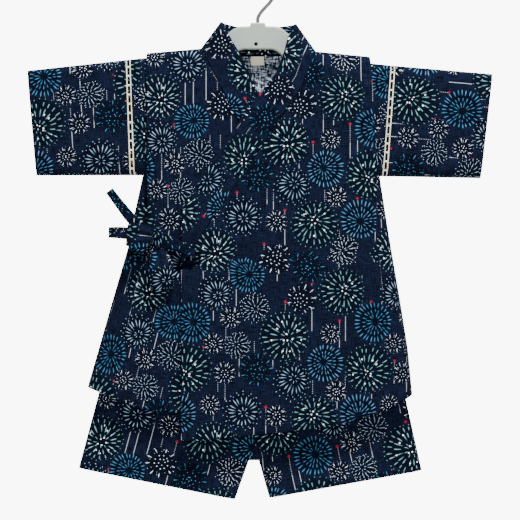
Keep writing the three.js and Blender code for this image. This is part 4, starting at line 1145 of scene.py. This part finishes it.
# A bow's loop: from the knot out on its front, round its far end and back behind, with
# pleats that fan out from the knot and fade along it
def loopGrid(loop):
    shape = smoothStations(loopShape, loopCloth["rows"])
    rows = np.concatenate([shape, shape[::-1][1:]])
    face = np.repeat([-1.0, 1.0], [len(shape), len(shape) - 1])[:, None]
    along, out, wide = [rows[:, [k]] for k in range(3)]
    part = np.linspace(-1, 1, loopCloth["across"])[None, :]
    strength = loopCloth["least"] + loopCloth["fan"] * np.exp(-along * loopCloth["fade"])
    pleat = np.cos(part * loopCloth["pleats"] * np.pi + loopCloth["start"]) * strength
    y = loop["out"] + face * loop["deep"] / 2 * out * (1 - loopCloth["curl"] * part ** 2) + pleat * out ** 0.5
    aheadX, aheadZ = math.cos(loop["turn"]), math.sin(loop["turn"])
    along, across = loop["length"] * along, loop["wide"] * wide / 2 * part
    points = pointsOf(loop["x"] + aheadX * along - aheadZ * across, y,
                      heightOf(loop["drop"]) + aheadZ * along + aheadX * across)
    length = pathLength(points[:, loopCloth["across"] // 2])[:, None]
    return points, pointsOf(across, length) * mm


for number, (name, loop) in enumerate(loops.items()):
    grid, gridUv = loopGrid(loop)
    flat = (loopCloth["flatWidth"], 2 * loop["length"] * mm)
    across, along = loopCloth["shift"]
    shift = np.array([across + loopCloth["apart"] * number, along])
    foldedPiece(name + "_cloth", name, grid, gridUv + shift, loopCloth["thick"], tieCotton, flat,
                ["under_front"])

# The knot: a turn of the band, a rounded block with slanting folds drawn in round it
knot = dict(x=-106.5, drop=227.5, out=-29.0, wide=5.5, deep=5.0, high=11.0, rows=41, around=64,
            square=0.75, fold=0.07, folds=5, slant=(0.9, 0.35), tilt=0.05, flat=(33, 24))
tall = np.linspace(0, np.pi, knot["rows"])[:, None]
about = np.linspace(0, 2 * np.pi, knot["around"] + 1)[None, :-1]
slant = np.cos(tall) * knot["slant"][0] + np.sin(about) * knot["slant"][1]
swell = 1 + knot["fold"] * np.cos(knot["folds"] * slant * np.pi)
ring = np.sin(tall) ** knot["square"]
knotPoints = pointsOf(
    knot["x"] + knot["wide"] * ring * np.cos(about) * swell,
    knot["out"] + knot["deep"] * ring * np.sin(about) * swell,
    heightOf(knot["drop"]) + knot["high"] * np.cos(tall) * (1 + knot["tilt"] * np.cos(about)))
knotUv = pointsOf(np.linspace(0, knot["flat"][0], knot["around"] + 1)[None, :],
                  np.linspace(0, knot["flat"][1], knot["rows"])[:, None]) * mm
gridPiece("tie_knot_cloth", "tie_knot", knotPoints, knotUv, [tieCotton], closed=True, weld=True)
print("ties made")

# Ladder lace: two corded rails with small loops outside, joined by pairs of bars. A cord is
# its width, thickness and the length of a stitch
lace = dict(slot=6.2, count=13, rail=(1.0, 0.9, 1.3), loop=(0.32, 0.5, 0.65), loopOut=0.58,
            bar=0.29, barThick=0.7, barRings=7, step=0.5, pair=1 / 7, waist=0.25, swell=0.24, end=0.4,
            least=0.3, steps=400, around=8)


# The lace's line down one face of the armhole, and the distance along it
def lacePath(side, face, offset):
    share = (1 - np.cos(np.linspace(0, np.pi, lace["steps"]))) / 2
    top, foot = laceEdge(side, 0, offset), laceEdge(side, 1, offset)
    x, drop, y, _ = armPoints(side, top, foot, share, face, 0.0)
    points = pointsOf(x, np.where(np.abs(y) < lace["least"], face * lace["least"], y), heightOf(drop))
    return points, pathLength(points)


# Cream cord: fine fuzz from dark to pale, and broad soft patches of a duller cream over it
laceLook = dict(fuzz=1400.0, fuzzStep=(0.35, 0.68), dark="#c0b890", pale="#fffce6", patch=220.0,
                patchStep=(0.4, 0.7), patchStrength=0.3, dull="#b5ad84", bump=(0.6, 0.0004))


def laceMaterial():
    material, n, inputs = newMaterial("ladderLace", roughness=0.8, sheen=0.25, specular=0.3)
    fuzz = n.noise(n.objectSpace(), laceLook["fuzz"], 3.0)
    patch = n.step(n.noise(n.objectSpace(), laceLook["patch"]), *laceLook["patchStep"])
    color = n.blend(n.step(fuzz, *laceLook["fuzzStep"]), laceLook["dark"], laceLook["pale"])
    n.put(inputs["Base Color"], n.blend(patch * laceLook["patchStrength"], color, laceLook["dull"]))
    n.put(inputs["Normal"], n.bump(fuzz, *laceLook["bump"]))
    return material


# A tube: an ellipse round each middle point, across the lace or ahead and outwards from it
def tubeRings(middle, first, outwards, wide, thick, size):
    angle = np.linspace(0, 2 * np.pi, lace["around"] + 1)[:-1][None, :, None]
    return middle + size * (first * np.cos(angle) * wide / 2 + outwards * np.sin(angle) * thick / 2)


acrossLace = np.array([1.0, 0, 0])


# A corded rail along the lace, whose size swells once a stitch
def railTube(side, face, offset, cord):
    wide, thick, stitch = cord
    path, length = lacePath(side, face, offset)
    outwards = np.cross(unit(np.gradient(path, axis=0)), acrossLace)[:, None]
    swell = 1 + lace["swell"] * np.cos(length / stitch * 2 * np.pi)
    ends = quarter(np.minimum(length, length[-1] - length), lace["end"])
    return tubeRings(path[:, None], acrossLace, outwards, wide, thick, (ends * swell)[:, None, None])


# A bar from rail to rail at a distance along the lace, narrower in its middle
def barTube(path, length, at, reach, wide):
    centre = rowsAt(at, length, path)
    ahead = unit(centre - rowsAt(at - lace["step"], length, path))
    share = np.linspace(-1, 1, lace["barRings"])[:, None, None]
    size = 1 - lace["waist"] * (1 - share ** 2)
    outwards = np.cross(ahead, acrossLace)
    return tubeRings(centre + acrossLace * share * reach, ahead, outwards, wide, lace["barThick"], size)


# Several tubes in one mesh, their ends closed with fans
def tubesPiece(name, node, tubes, material):
    faces, first = [], 0
    for tube in tubes:
        rows, columns = tube.shape[:2]
        last = first + (rows - 1) * columns
        faces += gridFaces(rows, columns, columns, first).tolist()
        faces += [list(range(first, first + columns))[::-1], list(range(last, last + columns))]
        first = last + columns
    mesh = bpy.data.meshes.new(name)
    mesh.from_pydata((np.concatenate([tube.reshape(-1, 3) for tube in tubes]) * mm).tolist(), [], faces)
    cleanMesh(mesh, weld=False)
    addPiece(name, mesh, [material], node)


laceCotton = laceMaterial()
outer = (panel["laceWidth"] - lace["rail"][0]) / 2
edge = outer + lace["loopOut"]
for side, sideName in ((leftSide, "left"), (rightSide, "right")):
    for face, half in ((-1, "front"), (1, "back")):
        tubes = [railTube(side, face, offset, lace["rail"]) for offset in (-outer, outer)]
        tubes += [railTube(side, face, offset, lace["loop"]) for offset in (-edge, edge)]
        path, length = lacePath(side, face, 0.0)
        bridge = (length[-1] - lace["count"] * lace["slot"]) / (lace["count"] + 1)
        for i in range(lace["count"] + 1):
            at = bridge / 2 + i * (lace["slot"] + bridge)
            for shift in (-bridge * lace["pair"], bridge * lace["pair"]):
                tubes.append(barTube(path, length, at + shift, outer, bridge * lace["bar"]))
        node = f"lace_{sideName}_{half}"
        tubesPiece(node + "_cord", node, tubes, laceCotton)
print("lace made")


# Hanger, hook and label keep their solids. The plastic is mottled, with a fine grain and a
# few dark scuffs
plastic = dict(mottle=90.0, colors=("#7d8781", "#8c958e"), scuff=310.0, scuffStep=(0.70, 0.76),
               scuffStrength=0.4, scuffColor="#4c544e", grain=2600.0, bump=(0.12, 0.0002))


def plasticMaterial():
    material, n, inputs = newMaterial("hangerPlastic", roughness=0.42, specular=0.45)
    where = n.objectSpace()
    scuffs = n.step(n.noise(where, plastic["scuff"], 1.0), *plastic["scuffStep"]) * plastic["scuffStrength"]
    plain = n.blend(n.noise(where, plastic["mottle"], 3.0), *plastic["colors"])
    n.put(inputs["Base Color"], n.blend(scuffs, plain, plastic["scuffColor"]))
    n.put(inputs["Normal"], n.bump(n.noise(where, plastic["grain"]), *plastic["bump"]))
    return material


# Bright wire, whose colour and roughness follow one noise of wear
wire = dict(wear=700.0, colors=("#9c9fa3", "#bfc2c3"), wearStep=(0.3, 0.8), roughness=(0.16, 0.32))


def wireMaterial():
    material, n, inputs = newMaterial("hookWire", roughness=0.22, metallic=1.0)
    wear = n.noise(n.objectSpace(), wire["wear"], 3.0)
    n.put(inputs["Base Color"], n.blend(wear, *wire["colors"]))
    n.put(inputs["Roughness"], n.step(wear, *wire["wearStep"], *wire["roughness"]))
    return material


# The label's ribs are a sine of the height
label = dict(rib=0.45, colors=("#f8efcf", "#fffae0"), bump=(0.4, 0.0002))


def labelMaterial():
    material, n, inputs = newMaterial("wovenLabel", roughness=0.75, sheen=0.2, specular=0.3)
    _, _, height = n.parts(n.objectSpace(), "XYZ")
    ribs = n.math("SINE", height * (2 * math.pi / (label["rib"] * mm)))
    n.put(inputs["Base Color"], n.blend(n.step(ribs, -1, 1), *label["colors"]))
    n.put(inputs["Normal"], n.bump(ribs, *label["bump"]))
    return material


keptSolids = dict(hanger_body=plasticMaterial(), hanger_hook=wireMaterial(), neck_label=labelMaterial())
for node, material in keptSolids.items():
    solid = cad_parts[node]
    solid.data.materials.clear()
    solid.data.materials.append(material)

# Floor, light and camera. A light is its place, size in metres and power
stage = dict(
    floor=-0.75, radius=1.05, rings=11, sides=96, camera=(0.0024, -2.124, -0.3052), lens=136.15,
    seen=9.0, ambient=0.50, target=(0, 0, -0.3), mottle=40.0, floorColors=("#e9e8e5", "#f2f1ee"),
    lights=dict(keyLight=((0.3, -0.85, 1.6), 0.35, 136), fillLight=((-0.15, -2.3, -0.1), 0.6, 20),
                backLight=((0.4, 1.7, 0.5), 1.0, 48)))
angle = np.linspace(0, 2 * np.pi, stage["sides"] + 1)[None, :-1]
reach = np.linspace(0.0, stage["radius"], stage["rings"] + 1)[1:, None]
discPoints = pointsOf(reach * np.cos(angle), reach * np.sin(angle), stage["floor"]).reshape(-1, 3)
fan = [[0, 1 + k, 1 + (k + 1) % stage["sides"]] for k in range(stage["sides"])]
quads = gridFaces(stage["rings"], stage["sides"], stage["sides"], 1)[:, ::-1].tolist()
disc = bpy.data.meshes.new("floor")
disc.from_pydata([[0, 0, stage["floor"]]] + discPoints.tolist(), [], fan + quads)
floorMaterial, n, inputs = newMaterial("paleFloor", roughness=0.7)
n.put(inputs["Base Color"], n.blend(n.noise(n.objectSpace(), stage["mottle"]), *stage["floorColors"]))
disc.materials.append(floorMaterial)
addObject("floor", disc)

# The world shows white to the camera and lights the piece more softly
world = bpy.data.worlds.new("studio")
bpy.context.scene.world = world
world.use_nodes = True
n = Nodes(world.node_tree)
toCamera = Field(n, n.add("ShaderNodeLightPath").outputs["Is Camera Ray"])
sky = world.node_tree.nodes["Background"].inputs
sky[0].default_value = (1, 1, 1, 1)
n.put(sky[1], toCamera * (stage["seen"] - stage["ambient"]) + stage["ambient"])

for name, (place, size, power) in stage["lights"].items():
    lamp = bpy.data.lights.new(name, "AREA")
    lamp.shape = "DISK"
    lamp.size = size
    lamp.energy = power
    item = addObject(name, lamp)
    item.location = place
    aim = Vector(stage["target"]) - Vector(place)
    item.rotation_euler = aim.to_track_quat("-Z", "Y").to_euler()

lens = bpy.data.cameras.new("camera")
lens.lens = stage["lens"]
lens.sensor_width = 36
camera = addObject("camera", lens)
camera.location = stage["camera"]
camera.rotation_euler = (math.pi / 2, 0, 0)
bpy.context.scene.camera = camera
print("stage made")
